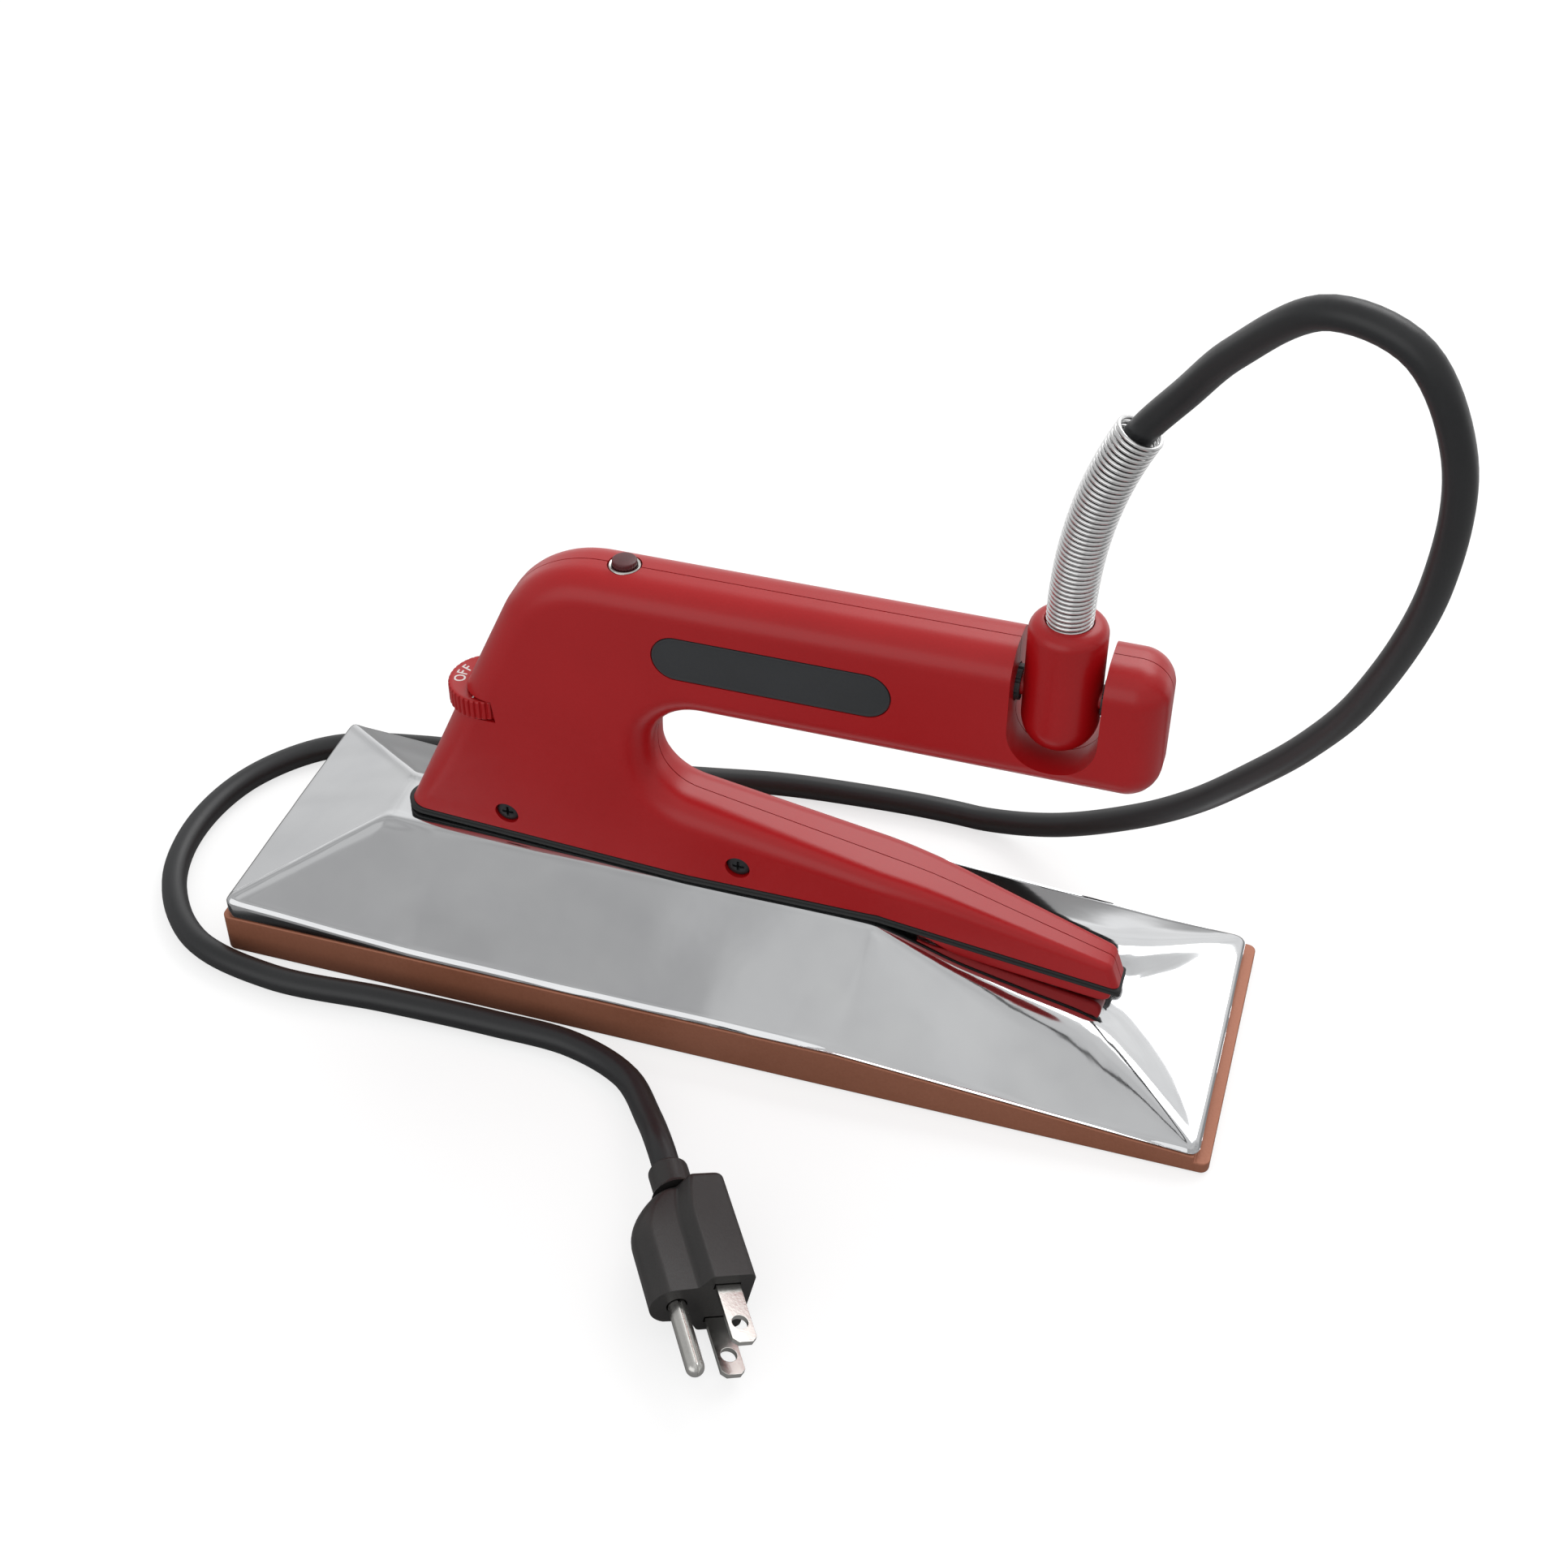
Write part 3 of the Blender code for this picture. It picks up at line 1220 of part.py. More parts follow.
def spring_axis(share):
    """Centre line of the strain relief: straight in the gland, then leaning back in a steady curve."""
    base = Vector((from_nose(GLAND_AT), 0, SPRING_SEAT_Z + GAP + 2 * WIRE_R))
    straight = GLAND_TOP_Z - base.z
    total = straight + SPRING_TOP_RISE
    height = share * total
    if height < straight:
        return base + Vector((0, 0, height))
    reach = (height - straight) / SPRING_TOP_RISE
    lean = SPRING_TOP_SHIFT * ((1 - SPRING_BEND_SHARE) * reach ** 2 + SPRING_BEND_SHARE * reach ** 3)
    return base + Vector((lean, 0, height))


def spring_points():
    """One unbroken coil round the curved centre line, with short straight ends."""
    made = []
    count = SPRING_TURNS * POINTS_PER_TURN
    for k in range(count + 1):
        share = k / count
        centre = spring_axis(share)
        ahead = (spring_axis(min(1, share + 1 / count)) - spring_axis(max(0, share - 1 / count))).normalized()
        side = Vector((0, 1, 0))
        up = ahead.cross(side).normalized()
        angle = math.tau * k / POINTS_PER_TURN
        made.append(centre + (side * math.cos(angle) + up * math.sin(angle)) * SPRING_R)
    first = (made[0] - made[1]).normalized()
    last = (made[-1] - made[-2]).normalized()
    return [made[0] + first * 2 * WIRE_R] + made + [made[-1] + last * 2 * WIRE_R]


def strain_relief():
    points = spring_points()
    spring = tube("strain_relief_spring", "steel", points, WIRE_R, 1)
    least = min((points[i] - points[j]).length for i in range(len(points))
                for j in range(i + POINTS_PER_TURN - 2, min(len(points), i + POINTS_PER_TURN + 3)))
    print(f"least gap between the spring's turns: {(least - 2 * WIRE_R) * 1000:.2f} mm")
    return spring


# Cord and plug
# The cord's arch after the spring, as (behind the gland's axis, y, above the grip's underside)
CORD_ARCH = [
    (0.0218, -0.0045, 0.1193), (0.0316, -0.0115, 0.1348), (0.0509, -0.0248, 0.1548), (0.0691, -0.0307, 0.1523),
    (0.0819, -0.0290, 0.1290), (0.0839, -0.0190, 0.0892), (0.0739, 0.0020, 0.0384), (0.0625, 0.0180, 0.0080),
    (0.0490, 0.0330, -0.0183), (0.0339, 0.0470, -0.0429),
]

# The rest of its route round the sole, as (behind the nose end, y, z)
CORD_ROUTE = [
    (0.2533, 0.0582, 0.0327), (0.2280, 0.0692, 0.0132),
    (0.2063, 0.0752, 0.0045), (0.1875, 0.0763, 0.0038), (0.1608, 0.0752, 0.0038), (0.1369, 0.0729, 0.0038),
    (0.1148, 0.0686, 0.0038), (0.0850, 0.0628, 0.0038), (0.0520, 0.0590, 0.0038), (0.0200, 0.0562, 0.0038),
    (-0.0090, 0.0474, 0.0038), (-0.0272, 0.0262, 0.0038), (-0.0330, 0.0000, 0.0038), (-0.0272, -0.0262, 0.0038),
    (-0.0090, -0.0468, 0.0038), (0.0200, -0.0545, 0.0038), (0.0560, -0.0530, 0.0038), (0.0900, -0.0525, 0.0038),
    (0.1150, -0.0535, 0.0038), (0.1335, -0.0610, 0.0045),
]


def mix(start, end, share):
    return start + (end - start) * share


def plug_section(along):
    """Outline across the plug's body: a box on the blade side and a round lobe about the earth pin.

    Behind the pins the lobe draws in to the collar, and the rear end is rounded.
    """
    reach = max(0, (-along - PLUG_LOBE_L) / (PLUG_L - PLUG_LOBE_L)) ** 2
    short = min(PLUG_REAR_R, max(0, PLUG_REAR_R - PLUG_L - along))
    inset = PLUG_REAR_R - math.sqrt(PLUG_REAR_R ** 2 - short ** 2)
    middle = mix(BLADE_OFFSET - EARTH_SPACING, PLUG_COLLAR_AT, reach)
    half_w = mix(PLUG_LOBE_HALF_W, PLUG_COLLAR_R, reach) - inset
    half_h = mix(PLUG_LOBE_HALF_H, PLUG_COLLAR_R, reach) - inset
    edge = mix(PLUG_BOX_EDGE, PLUG_BOX_EDGE_REAR, reach)
    top = PLUG_HALF_H - inset
    upper = [(PLUG_BLADE_SIDE - inset, top, PLUG_CORNER_R), (edge, top, PLUG_CORNER_R),
             (edge - PLUG_VALLEY_W, half_h, PLUG_CORNER_R)]
    lobe = []
    for k in range(9):
        angle = math.radians(110) + math.radians(140) * k / 8
        lobe.append((middle + half_w * math.cos(angle), half_h * math.sin(angle), 0))
    return fillet_outline(upper + lobe + [(v, -w, r) for v, w, r in reversed(upper)], steps=3)


def plug_frame():
    """Origin in the middle of the plug's front face, its outward direction, its blade side and its upper side."""
    ahead = Vector((math.sin(PLUG_TURN), -math.cos(PLUG_TURN), 0))
    level = Vector((math.cos(PLUG_TURN), math.sin(PLUG_TURN), 0))
    side = level * math.cos(PLUG_ROLL) + Vector((0, 0, math.sin(PLUG_ROLL)))
    up = ahead.cross(side)
    lowest = min((side * v + up * w).z for v, w in plug_section(0))
    return Vector((from_nose(PLUG_AT[0]), PLUG_AT[1], FLOOR_GAP - lowest)), ahead, side, up


def plug_point(along, across, up):
    origin, ahead, side, above = plug_frame()
    return origin + ahead * along + side * across + above * up


def plug_body():
    stations = [0, -PLUG_LOBE_L / 2, -PLUG_LOBE_L]
    stations += [mix(-PLUG_LOBE_L, PLUG_REAR_R - PLUG_L, k / 4) for k in range(1, 5)]
    stations += [PLUG_REAR_R - PLUG_L - PLUG_REAR_R * math.sin(math.pi / 2 * k / 3) for k in range(1, 4)]
    sections = [[plug_point(along, v, w) for v, w in plug_section(along)] for along in stations]
    count = len(sections[0])
    verts = [point for section in sections for point in section]
    last = len(verts) - count
    faces = [tuple(range(count)), tuple(range(last, last + count))]
    for row in range(len(sections) - 1):
        for i in range(count):
            j = (i + 1) % count
            faces.append((row * count + i, row * count + j, (row + 1) * count + j, (row + 1) * count + i))
    body = add_mesh("plug_body", "black_plastic", verts, faces)
    bevel(body, PLUG_RIM_R, segments=2)
    return body


def plug():
    body = plug_body()
    ahead = plug_frame()[1]
    turn = ahead.to_track_quat("Z", "X").to_matrix().to_4x4()
    low = PLUG_L + GAP
    profile = [(PLUG_COLLAR_R, -low), (PLUG_COLLAR_R, -low - PLUG_COLLAR_L + PLUG_COLLAR_EDGE_R),
               (PLUG_COLLAR_R - PLUG_COLLAR_EDGE_R, -low - PLUG_COLLAR_L)]
    collar = turned("plug_collar", "black_plastic", profile, (0, 0, 0))
    collar.matrix_world = Matrix.Translation(plug_point(0, PLUG_COLLAR_AT, 0)) @ turn
    for name, up in (("plug_blade_upper", 1), ("plug_blade_lower", -1)):
        blade(name, up * BLADE_SPACING / 2, body)
    across = BLADE_OFFSET - EARTH_SPACING
    steps = 4
    profile = [(EARTH_R, -BLADE_ROOT)]
    for k in range(steps + 1):
        angle = math.pi / 2 * k / steps
        profile.append((EARTH_R * math.cos(angle) if k < steps else 0,
                        EARTH_L - EARTH_R + EARTH_R * math.sin(angle)))
    pin = turned("plug_earth_pin", "nickel", profile, (0, 0, 0), sides=SMALL_SIDES)
    pin.matrix_world = Matrix.Translation(plug_point(0, across, 0)) @ turn
    socket = rod("earth_socket", None, (0, 0, 0), EARTH_R + GAP, -BLADE_ROOT - GAP, OVERRUN, sides=SMALL_SIDES)
    socket.matrix_world = pin.matrix_world
    cut(body, socket)


def blade(name, up, body):
    """A flat blade with a hole and clipped corners, in a socket of the plug's body."""
    half = BLADE_W / 2
    c = BLADE_CHAMFER
    outline = [(-BLADE_ROOT, -half), (BLADE_L - c, -half), (BLADE_L, -half + c), (BLADE_L, half - c),
               (BLADE_L - c, half), (-BLADE_ROOT, half)]
    outline = [(u, v + BLADE_OFFSET) for u, v in outline]
    made = prism(name, "nickel", outline, up - BLADE_T / 2, up + BLADE_T / 2, plug_point, smooth=False)
    hole = []
    for k in range(SMALL_SIDES):
        angle = math.tau * k / SMALL_SIDES
        hole.append((BLADE_HOLE_AT + BLADE_HOLE_R * math.cos(angle), BLADE_OFFSET + BLADE_HOLE_R * math.sin(angle)))
    cut(made, prism(f"{name}_hole", None, hole, up - BLADE_T - OVERRUN, up + BLADE_T + OVERRUN, plug_point))
    g = GAP
    socket = [(-BLADE_ROOT - g, -half - g), (OVERRUN, -half - g), (OVERRUN, half + g), (-BLADE_ROOT - g, half + g)]
    socket = [(u, v + BLADE_OFFSET) for u, v in socket]
    cut(body, prism(f"{name}_socket", None, socket, up - BLADE_T / 2 - g, up + BLADE_T / 2 + g, plug_point))


def power_cord():
    centre = (from_nose(GLAND_AT), 0)
    route = [Vector((*centre, CORD_END_Z)), Vector((*centre, SPRING_SEAT_Z))]
    route += [spring_axis(share) for share in (0.35, 0.6, 0.8, 0.97)]
    route += [Vector((from_nose(GLAND_AT) + x, y, GRIP_BOTTOM_Z + z + FLOOR_GAP)) for x, y, z in CORD_ARCH]
    route += [Vector((from_nose(x), y, z + FLOOR_GAP)) for x, y, z in CORD_ROUTE]
    end = -PLUG_L - 2 * GAP - PLUG_COLLAR_L
    last = plug_point(end, PLUG_COLLAR_AT, 0)
    falling = plug_point(end - 6 * CORD_R, PLUG_COLLAR_AT, 0)
    falling.z = mix(last.z, CORD_R + FLOOR_GAP, CORD_FALL_SHARE)
    route += [falling, plug_point(end - 2 * CORD_R, PLUG_COLLAR_AT, 0)]
    points = smooth_curve(route, CORD_POINT_STEP) + [last]
    tube("power_cord", "black_rubber", points, CORD_R, 2)
    length = sum((b - a).length for a, b in zip(points, points[1:]))
    print(f"cord length {length:.3f} m on {len(points)} points")


# Leads inside the handle
def leads():
    start = from_nose(GLAND_AT) - NOTCH_HALF_L - BUSH_DEPTH - 2 * GAP
    for name, side in (("lead_live", -1), ("lead_neutral", 1), ("lead_earth", 0)):
        y = side * LEAD_Y
        if side:
            end = [(ELEMENT_END, side * ELEMENT_END_Y, PIN_TOP_Z + 12 * LEAD_R),
                   (ELEMENT_END, side * ELEMENT_END_Y, PIN_TOP_Z + GAP)]
        else:
            end = [(STUD_AT_1 + 3 * STUD_R + NUT_R, 0, BAR_Z + BAR_T + 12 * LEAD_R),
                   (STUD_AT_1 + 3 * STUD_R + NUT_R, 0, BAR_Z + BAR_T + GAP)]
        column = HOOK_FRONT - WALL - 12 * LEAD_R
        route = [Vector((start, y * 0.7, PIVOT_Z)), Vector((start - 12 * LEAD_R, y, PIVOT_Z - 3 * LEAD_R)),
                 Vector((start - 30 * LEAD_R, y, LEAD_RUN_Z)), Vector((from_nose(HOOK_FRONT + BROW_R), y, LEAD_RUN_Z)),
                 Vector((from_nose(HOOK_FRONT), y, LEAD_RUN_Z)),
                 Vector((from_nose(column + 4 * LEAD_R), y, GRIP_BOTTOM_Z)),
                 Vector((from_nose(column), y, HOOK_LOW_Z))]
        route += [Vector((from_nose(a), b, c)) for a, b, c in end]
        tube(name, "copper_lead", smooth_curve(route, LEAD_R * 8), LEAD_R, 0)


sole_plate()
heating_parts()
heat_shield()
gasket()
tail_cover()
handle_mounting()
handle_shell("handle_front_shell", -1)
handle_shell("handle_back_shell", 1)
shell_screws()
label_plate()
thermostat()
pilot_lamp()
pivot("gland_axis", (from_nose(GLAND_AT), 0, PIVOT_Z), [gland(), strain_relief()])
plug()
power_cord()
leads()
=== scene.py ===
"""Looks of a carpet seaming iron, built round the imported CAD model.

Metres, +Z up, in the CAD's own frame: +X runs from the dial end (the nose) to the tail, and -Y is the side
with the label. Places along the length are given behind the sole's nose end and go through from_nose().
"""

import math

import bmesh
import bpy
import numpy as np
from mathutils import Matrix, Vector
from mathutils.geometry import delaunay_2d_cdt


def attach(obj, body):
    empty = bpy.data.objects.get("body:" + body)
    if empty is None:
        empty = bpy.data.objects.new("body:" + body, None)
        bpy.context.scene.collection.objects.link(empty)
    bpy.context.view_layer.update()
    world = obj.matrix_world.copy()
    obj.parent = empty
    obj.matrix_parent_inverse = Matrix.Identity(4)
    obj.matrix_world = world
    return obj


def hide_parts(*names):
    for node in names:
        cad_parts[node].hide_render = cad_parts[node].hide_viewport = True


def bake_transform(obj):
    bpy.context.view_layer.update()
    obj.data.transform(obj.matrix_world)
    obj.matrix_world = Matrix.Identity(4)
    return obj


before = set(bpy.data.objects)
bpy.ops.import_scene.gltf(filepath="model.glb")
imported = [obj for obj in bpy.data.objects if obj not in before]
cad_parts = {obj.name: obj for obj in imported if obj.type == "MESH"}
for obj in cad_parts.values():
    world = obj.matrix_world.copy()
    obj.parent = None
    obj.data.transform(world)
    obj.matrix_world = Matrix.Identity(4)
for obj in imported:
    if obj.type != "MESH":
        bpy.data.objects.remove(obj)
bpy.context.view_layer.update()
bpy.context.scene.view_settings.view_transform = "Standard"

# Gaps and cuts
GAP = 0.0003
FIT = 0.0004
OVERRUN = 0.002
TINY = 0.0002
POLE_R = 0.0004
ROUND = 72

# Sole plate
SOLE_L = 0.295
SOLE_W = 0.0886
SOLE_T = 0.0135
SOLE_CORNER_R = 0.0024
SOLE_EDGE_R = 0.0011
SOLE_TOP_EDGE_R = 0.0004
SOLE_TAPER_START = 0.190
SOLE_REAR_T = 0.0061
LEDGE_L = 0.0043
LEDGE_T = 0.0040
GROOVE_W = 0.0024
GROOVE_D = 0.0010
GROOVE_PITCH = 0.0120
GROOVE_PAIRS = 3
GROOVE_END = 0.0120
SOLE_BORES = ((0.106, 0.0028, 0.0073), (0.170, 0.0028, 0.0073), (0.050, 0.0024, 0.0083),
              (0.140, 0.0024, 0.0083))

# Heat shield: heights of its creases along the length
SHEET_T = 0.0008
SHIELD_FRONT = 0.0013
SHIELD_REAR = 0.2918
SHIELD_HALF_W = 0.0438
SHIELD_CORNER_R = 0.0030
SHIELD_EDGE_R = 0.0016
CREASE_R = ((0.180, 0.235, 0.262, 0.288), (0.0030, 0.0110, 0.0110, 0.0030))
SHOULDER = ((0.0013, 0.060, 0.112, 0.150, 0.175, 0.195, 0.230, 0.270, 0.2918),
            (0.0196, 0.0156, 0.0150, 0.0152, 0.0149, 0.0134, 0.0106, 0.0080, 0.0078))
HIP = ((0.0013, 0.0406, 0.191, 0.2578, 0.2918), (0.0196, 0.0350, 0.0350, 0.0210, 0.0078))
HIP_Y = ((0.0013, 0.0406, 0.191, 0.2578, 0.2918), (0.0438, 0.0102, 0.0102, 0.0140, 0.0438))
VALLEY = ((0.0013, 0.0406, 0.191, 0.215, 0.235, 0.252, 0.2918),
          (0.0196, 0.0350, 0.0350, 0.0248, 0.0203, 0.0168, 0.0078))
FOLD_RISE = 0.00055
FOLD_W = 0.0019
FOLD_END = 0.056
FOLD_FADE = 0.012
RIPPLE = 0.00004
STREAK_SHARE = 0.8
SKIRT_LIFT = 0.0005
SKIRT_FALL = 0.01
SKIRT_Z = 0.016
SHIELD_RING_START = 0.0011
SHIELD_RING_STEP = 0.00085
SHIELD_RING_END = 0.0008
SHIELD_CUT_Z = (0.030, 0.040)

# Pressing waves of the whole sheet, and the streaks of its far side, as lengths along and across it
WAVES = ((0.0052, 0.0110), (-0.0130, 0.0046), (0.0170, 0.0075))
STREAKS = ((0.0600, 0.0022), (-0.0450, 0.0037))
RIDGE_BORES = ((0.106, 0, 0.0028), (0.170, 0, 0.0028), (0.0737, 0, 0.0033), (0.116, 0.0058, 0.0020),
               (0.116, -0.0058, 0.0020))

# Handle outline, seen from the side
HANDLE_HALF_W = 0.0112
SEAM_GAP = 0.0003
FOOT_Z = 0.0380
FOOT_NOSE = 0.0460
FRONT_LEAN = math.radians(24.9)
BROW_R = 0.0310
GRIP_TOP_Z = 0.1350
GRIP_BOTTOM_Z = 0.0950
GRIP_REAR = 0.2640
GRIP_REAR_R = 0.0092
HOOK_FRONT = 0.1243
HOOK_TOP_R = 0.0160
HOOK_LOW_R = 0.0150
HOOK_LOW_Z = 0.0646
BACK_BEND = 0.205
BACK_BEND_Z = 0.0481
BACK_BEND_R = 0.1200
TAIL_TOP_REAR = 0.2580
TAIL_TOP_Z = 0.0309
TAIL_REAR = 0.2608
TAIL_R = 0.0030
TAIL_HALF_W = 0.0051
KINK = 0.192
TAIL_FALL = 0.0151
NOSE_TAPER = 0.0050
NOSE_TAPER_END = 0.134
NOSE_TAPER_H = 0.0550
EDGE_R = 0.0085
TAIL_EDGE_R = 0.0019
WALL = 0.0026
GRIP_BULKHEAD = 0.0052
UNDERCUT_Z = FOOT_Z - TAIL_FALL - EDGE_R
TAIL_SLOPE = TAIL_FALL / (TAIL_REAR - KINK)
OUTLINE_STEP = 0.0045
EDGE_RINGS = 9
SIDE_GRID = 0.006
HOLLOW_RINGS = 3
HOLLOW_GRID = 0.016

# Gasket and the cover under the tail
GASKET_T = 0.0024
GASKET_NOSE = 0.0446
GASKET_REAR = 0.2612
GASKET_CORNER_R = 0.0007
GASKET_NOSE_R = 0.0062
GASKET_CUT_Z = (0.030, 0.042)
COVER_T = 0.0041
COVER_FRONT_T = 0.0010
COVER_START = 0.204
COVER_FULL = 0.216
COVER_REAR = 0.2588
COVER_INSET = 0.0008
COVER_EDGE_R = 0.0009

# The gasket's double rib, from its lower to its upper face: height and reach beyond the foot, in millimetres
GASKET_RIBS = ((0, -0.7), (0.10, -0.1), (0.30, 0.15), (0.55, 0.20), (0.80, 0.10), (1.00, -0.30), (1.20, -0.45),
               (1.40, -0.30), (1.60, 0.10), (1.85, 0.20), (2.10, 0.15), (2.30, -0.1), (2.40, -0.7))

# Dial
DIAL_AT = 0.0737
DIAL_R = 0.0113
DIAL_TOP_Z = 0.0870
DIAL_T = 0.0063
DIAL_KNURLS = 42
KNURL_D = 0.00055
DIAL_EDGE_R = 0.0007
DIAL_LOWER_RIM = ((0.0005, 0), (0.0002, 0.0001), (0, 0.0004))
DIAL_RIM_W = 0.0014
DIAL_DISH_INSET = 0.0018
DIAL_DISH_D = 0.00015
DIAL_CENTRE_SHARE = 0.45
DIAL_SLOT_R = 0.0008
DIAL_SLOT_Z = 0.0006
SHAFT_R = 0.0025
PRINT_R = 0.0081
PRINT_H = 0.0034
PRINT_T = 0.00005
PRINT_BOLD = 0.00006
PRINT_DROP = 0.00014
PRINT_NARROW = 0.82
FONT_OVER_CAPITAL = 1.38
DIAL_MARKS = [("O", 16), ("F", -3), ("F", -20)] + [(str(k), 40 + 46 * k) for k in range(1, 6)]

# Fasteners, label and pilot lamp
SHELL_SCREWS = (("shell_screw_front", 0.0793, 0.0447), ("shell_screw_rear", 0.1508, 0.0449))
POST_R = 0.0044
SCREW_R = 0.0016
SCREW_HEAD_R = 0.0034
SCREW_HEAD_T = 0.0019
SCREW_L = 0.0150
SCREW_DOME = 0.0007
SCREW_HOLE_R = 0.0020
HEAD_FIT = 0.00025
HEAD_RECESS = 0.0006
CROSS_W = 0.00048
CROSS_L = 0.0021
CROSS_D = 0.0013
CROSS_RISE = 0.0005
CROSS_TAPER_SHARE = 0.45
LABEL_AT = 0.16055
LABEL_L = 0.0655
LABEL_H = 0.0134
LABEL_Z = 0.1154
LABEL_T = 0.0007
LABEL_DEPTH = 0.0009
LABEL_RIM = ((0, LABEL_T), (0, 0.0002), (0.00006, 0.00006), (0.0002, 0), (0.0007, 0), (0.0009, 0.00012))
PILOT_AT = 0.1171
PILOT_SEAT_Z = 0.1338
BEZEL_R = 0.0045
BEZEL_TUBE_R = 0.0037
BEZEL_BORE_R = 0.0031
BEZEL_TUBE_L = 0.0080
BEZEL_FIT = 0.0002
BEZEL_OUTER_LIP = ((0, 0.0005), (0.00015, 0.0008), (0.0004, 0.0010))
BEZEL_INNER_LIP = (0.0005, 0.0009)
BEZEL_INNER_RISE = 0.0006
LENS_R = 0.0030
LENS_FOOT = ((0.0001, -0.001), (0, 0.0009))
LENS_RIBS = 24
LENS_RIB_D = 0.00012
CAP_R = 0.0034
CAP_LOW = 0.0010
CAP_TOP = 0.0026
CAP_SHOULDER = 0.0006
CAP_EDGE_R = 0.0005
CAP_DOME = 0.0002

# Swivel gland and its spring
GLAND_AT = 0.2360
GLAND_R = 0.01025
GLAND_TOP_Z = 0.1430
GLAND_TOP_R = 0.0036
GLAND_BALL_Z = 0.1135
GLAND_CORE_WALL = 0.001
PIVOT_Z = 0.1207
NOTCH_HALF_L = 0.0118
NOTCH_FLOOR_Z = 0.1010
BUSH_R = 0.0048
BUSH_BORE_R = 0.0035
BUSH_DEPTH = 0.0056
BUSH_RIBS = 8
BUSH_RIB_D = 0.0005
BUSH_RIB_SHARE = 0.22
STUB_R = 0.0032
STUB_BORE_R = 0.0021
SPRING_SEAT_Z = 0.1300
SPRING_BORE_R = 0.0066
GLAND_LIP_R = 0.0063
GLAND_MOUTH = ((GLAND_LIP_R + TINY, 0), (GLAND_LIP_R, 0.0002), (GLAND_LIP_R, 0.0012), (SPRING_BORE_R, 0.0014))
CORD_BORE_R = 0.0043
CORD_END_Z = 0.1180
SPRING_WIRE_R = 0.00056
SPRING_START_Z = 0.1311
SPRING_R = 0.0056
SPRING_TURNS = 52
SPRING_TOP_RISE = 0.0570
SPRING_TOP_SHIFT = 0.0122
SPRING_BEND_SHARE = 0.36

# Cord and plug
CORD_R = 0.0038
CORD_STEP = 0.0030
FLOOR_GAP = 0.0001
PLUG_AT = (0.1821, -0.1327)
PLUG_TURN = math.radians(32.9)
PLUG_ROLL = math.radians(-14)
PLUG_L = 0.0352
PLUG_HALF_H = 0.0103
PLUG_BLADE_SIDE = 0.0110
PLUG_BOX_EDGE = -0.0005
PLUG_BOX_EDGE_REAR = 0.0025
PLUG_VALLEY_W = 0.0027
PLUG_LOBE_L = 0.0190
PLUG_LOBE_HALF_W = 0.0071
PLUG_LOBE_HALF_H = 0.0063
PLUG_CORNER_R = 0.0016
PLUG_RIM_R = 0.0008
PLUG_REAR_R = 0.0026
COLLAR_R = 0.0054
COLLAR_L = 0.0090
COLLAR_AT = 0.0005
COLLAR_EDGE_R = 0.0008
COLLAR_FOOT = ((0.0010, 0), (0.0004, 0.0008), (0, 0.0018))
BLADE_W = 0.00635
BLADE_T = 0.0015
BLADE_L = 0.0178
BLADE_SPACING = 0.0127
BLADE_OFFSET = 0.0040
BLADE_HOLE_R = 0.0021
BLADE_HOLE_AT = 0.0118
BLADE_CHAMFER = 0.0014
BLADE_ROOT = 0.0060
BLADE_EDGE_R = 0.00012
EARTH_R = 0.0024
EARTH_L = 0.0212
EARTH_SPACING = 0.0119
EARTH_SEAM_D = 0.0004

# The cord's route after the spring, as (behind the nose end, y, z)
CORD_ROUTE = [
    (0.2578, -0.0045, 0.2143), (0.2676, -0.0115, 0.2298), (0.2869, -0.0248, 0.2498), (0.3051, -0.0307, 0.2473),
    (0.3179, -0.0290, 0.2240), (0.3199, -0.0190, 0.1842), (0.3099, 0.0020, 0.1334), (0.2985, 0.0180, 0.1030),
    (0.2850, 0.0330, 0.0767), (0.2699, 0.0470, 0.0521), (0.2533, 0.0582, 0.0327), (0.2280, 0.0692, 0.0132),
    (0.2063, 0.0752, 0.0045), (0.1875, 0.0763, 0.0038), (0.1608, 0.0752, 0.0038), (0.1369, 0.0729, 0.0038),
    (0.1148, 0.0686, 0.0038), (0.0850, 0.0628, 0.0038), (0.0520, 0.0590, 0.0038), (0.0200, 0.0562, 0.0038),
    (-0.0090, 0.0474, 0.0038), (-0.0272, 0.0262, 0.0038), (-0.0330, 0.0000, 0.0038), (-0.0272, -0.0262, 0.0038),
    (-0.0090, -0.0468, 0.0038), (0.0200, -0.0545, 0.0038), (0.0560, -0.0530, 0.0038), (0.0900, -0.0525, 0.0038),
    (0.1150, -0.0535, 0.0038), (0.1335, -0.0610, 0.0045),
]


def from_nose(distance):
    """X of a place that lies this far behind the sole's nose end."""
    return distance - SOLE_L / 2


# Camera, at the photograph's viewing angle
CAMERA_PLACE = (0.15507, -0.45560, 0.47866)
CAMERA_RIGHT = Vector((0.95506, 0.29643, 0))
CAMERA_DOWN = Vector((0.19293, -0.62158, -0.75923))
CAMERA_AHEAD = Vector((-0.22505846, 0.7251001, -0.65082911))
SENSOR_MM = 36
LENS_MM = 51.80
NEAREST, FARTHEST = 0.01, 20


def camera():
    view = bpy.data.cameras.new("camera")
    view.sensor_width = SENSOR_MM
    view.lens = LENS_MM
    view.clip_start = NEAREST
    view.clip_end = FARTHEST
    made = bpy.data.objects.new("camera", view)
    bpy.context.scene.collection.objects.link(made)
    made.matrix_world = Matrix((CAMERA_RIGHT, -CAMERA_DOWN, -CAMERA_AHEAD)).transposed().to_4x4()
    made.location = CAMERA_PLACE
    bpy.context.scene.camera = made


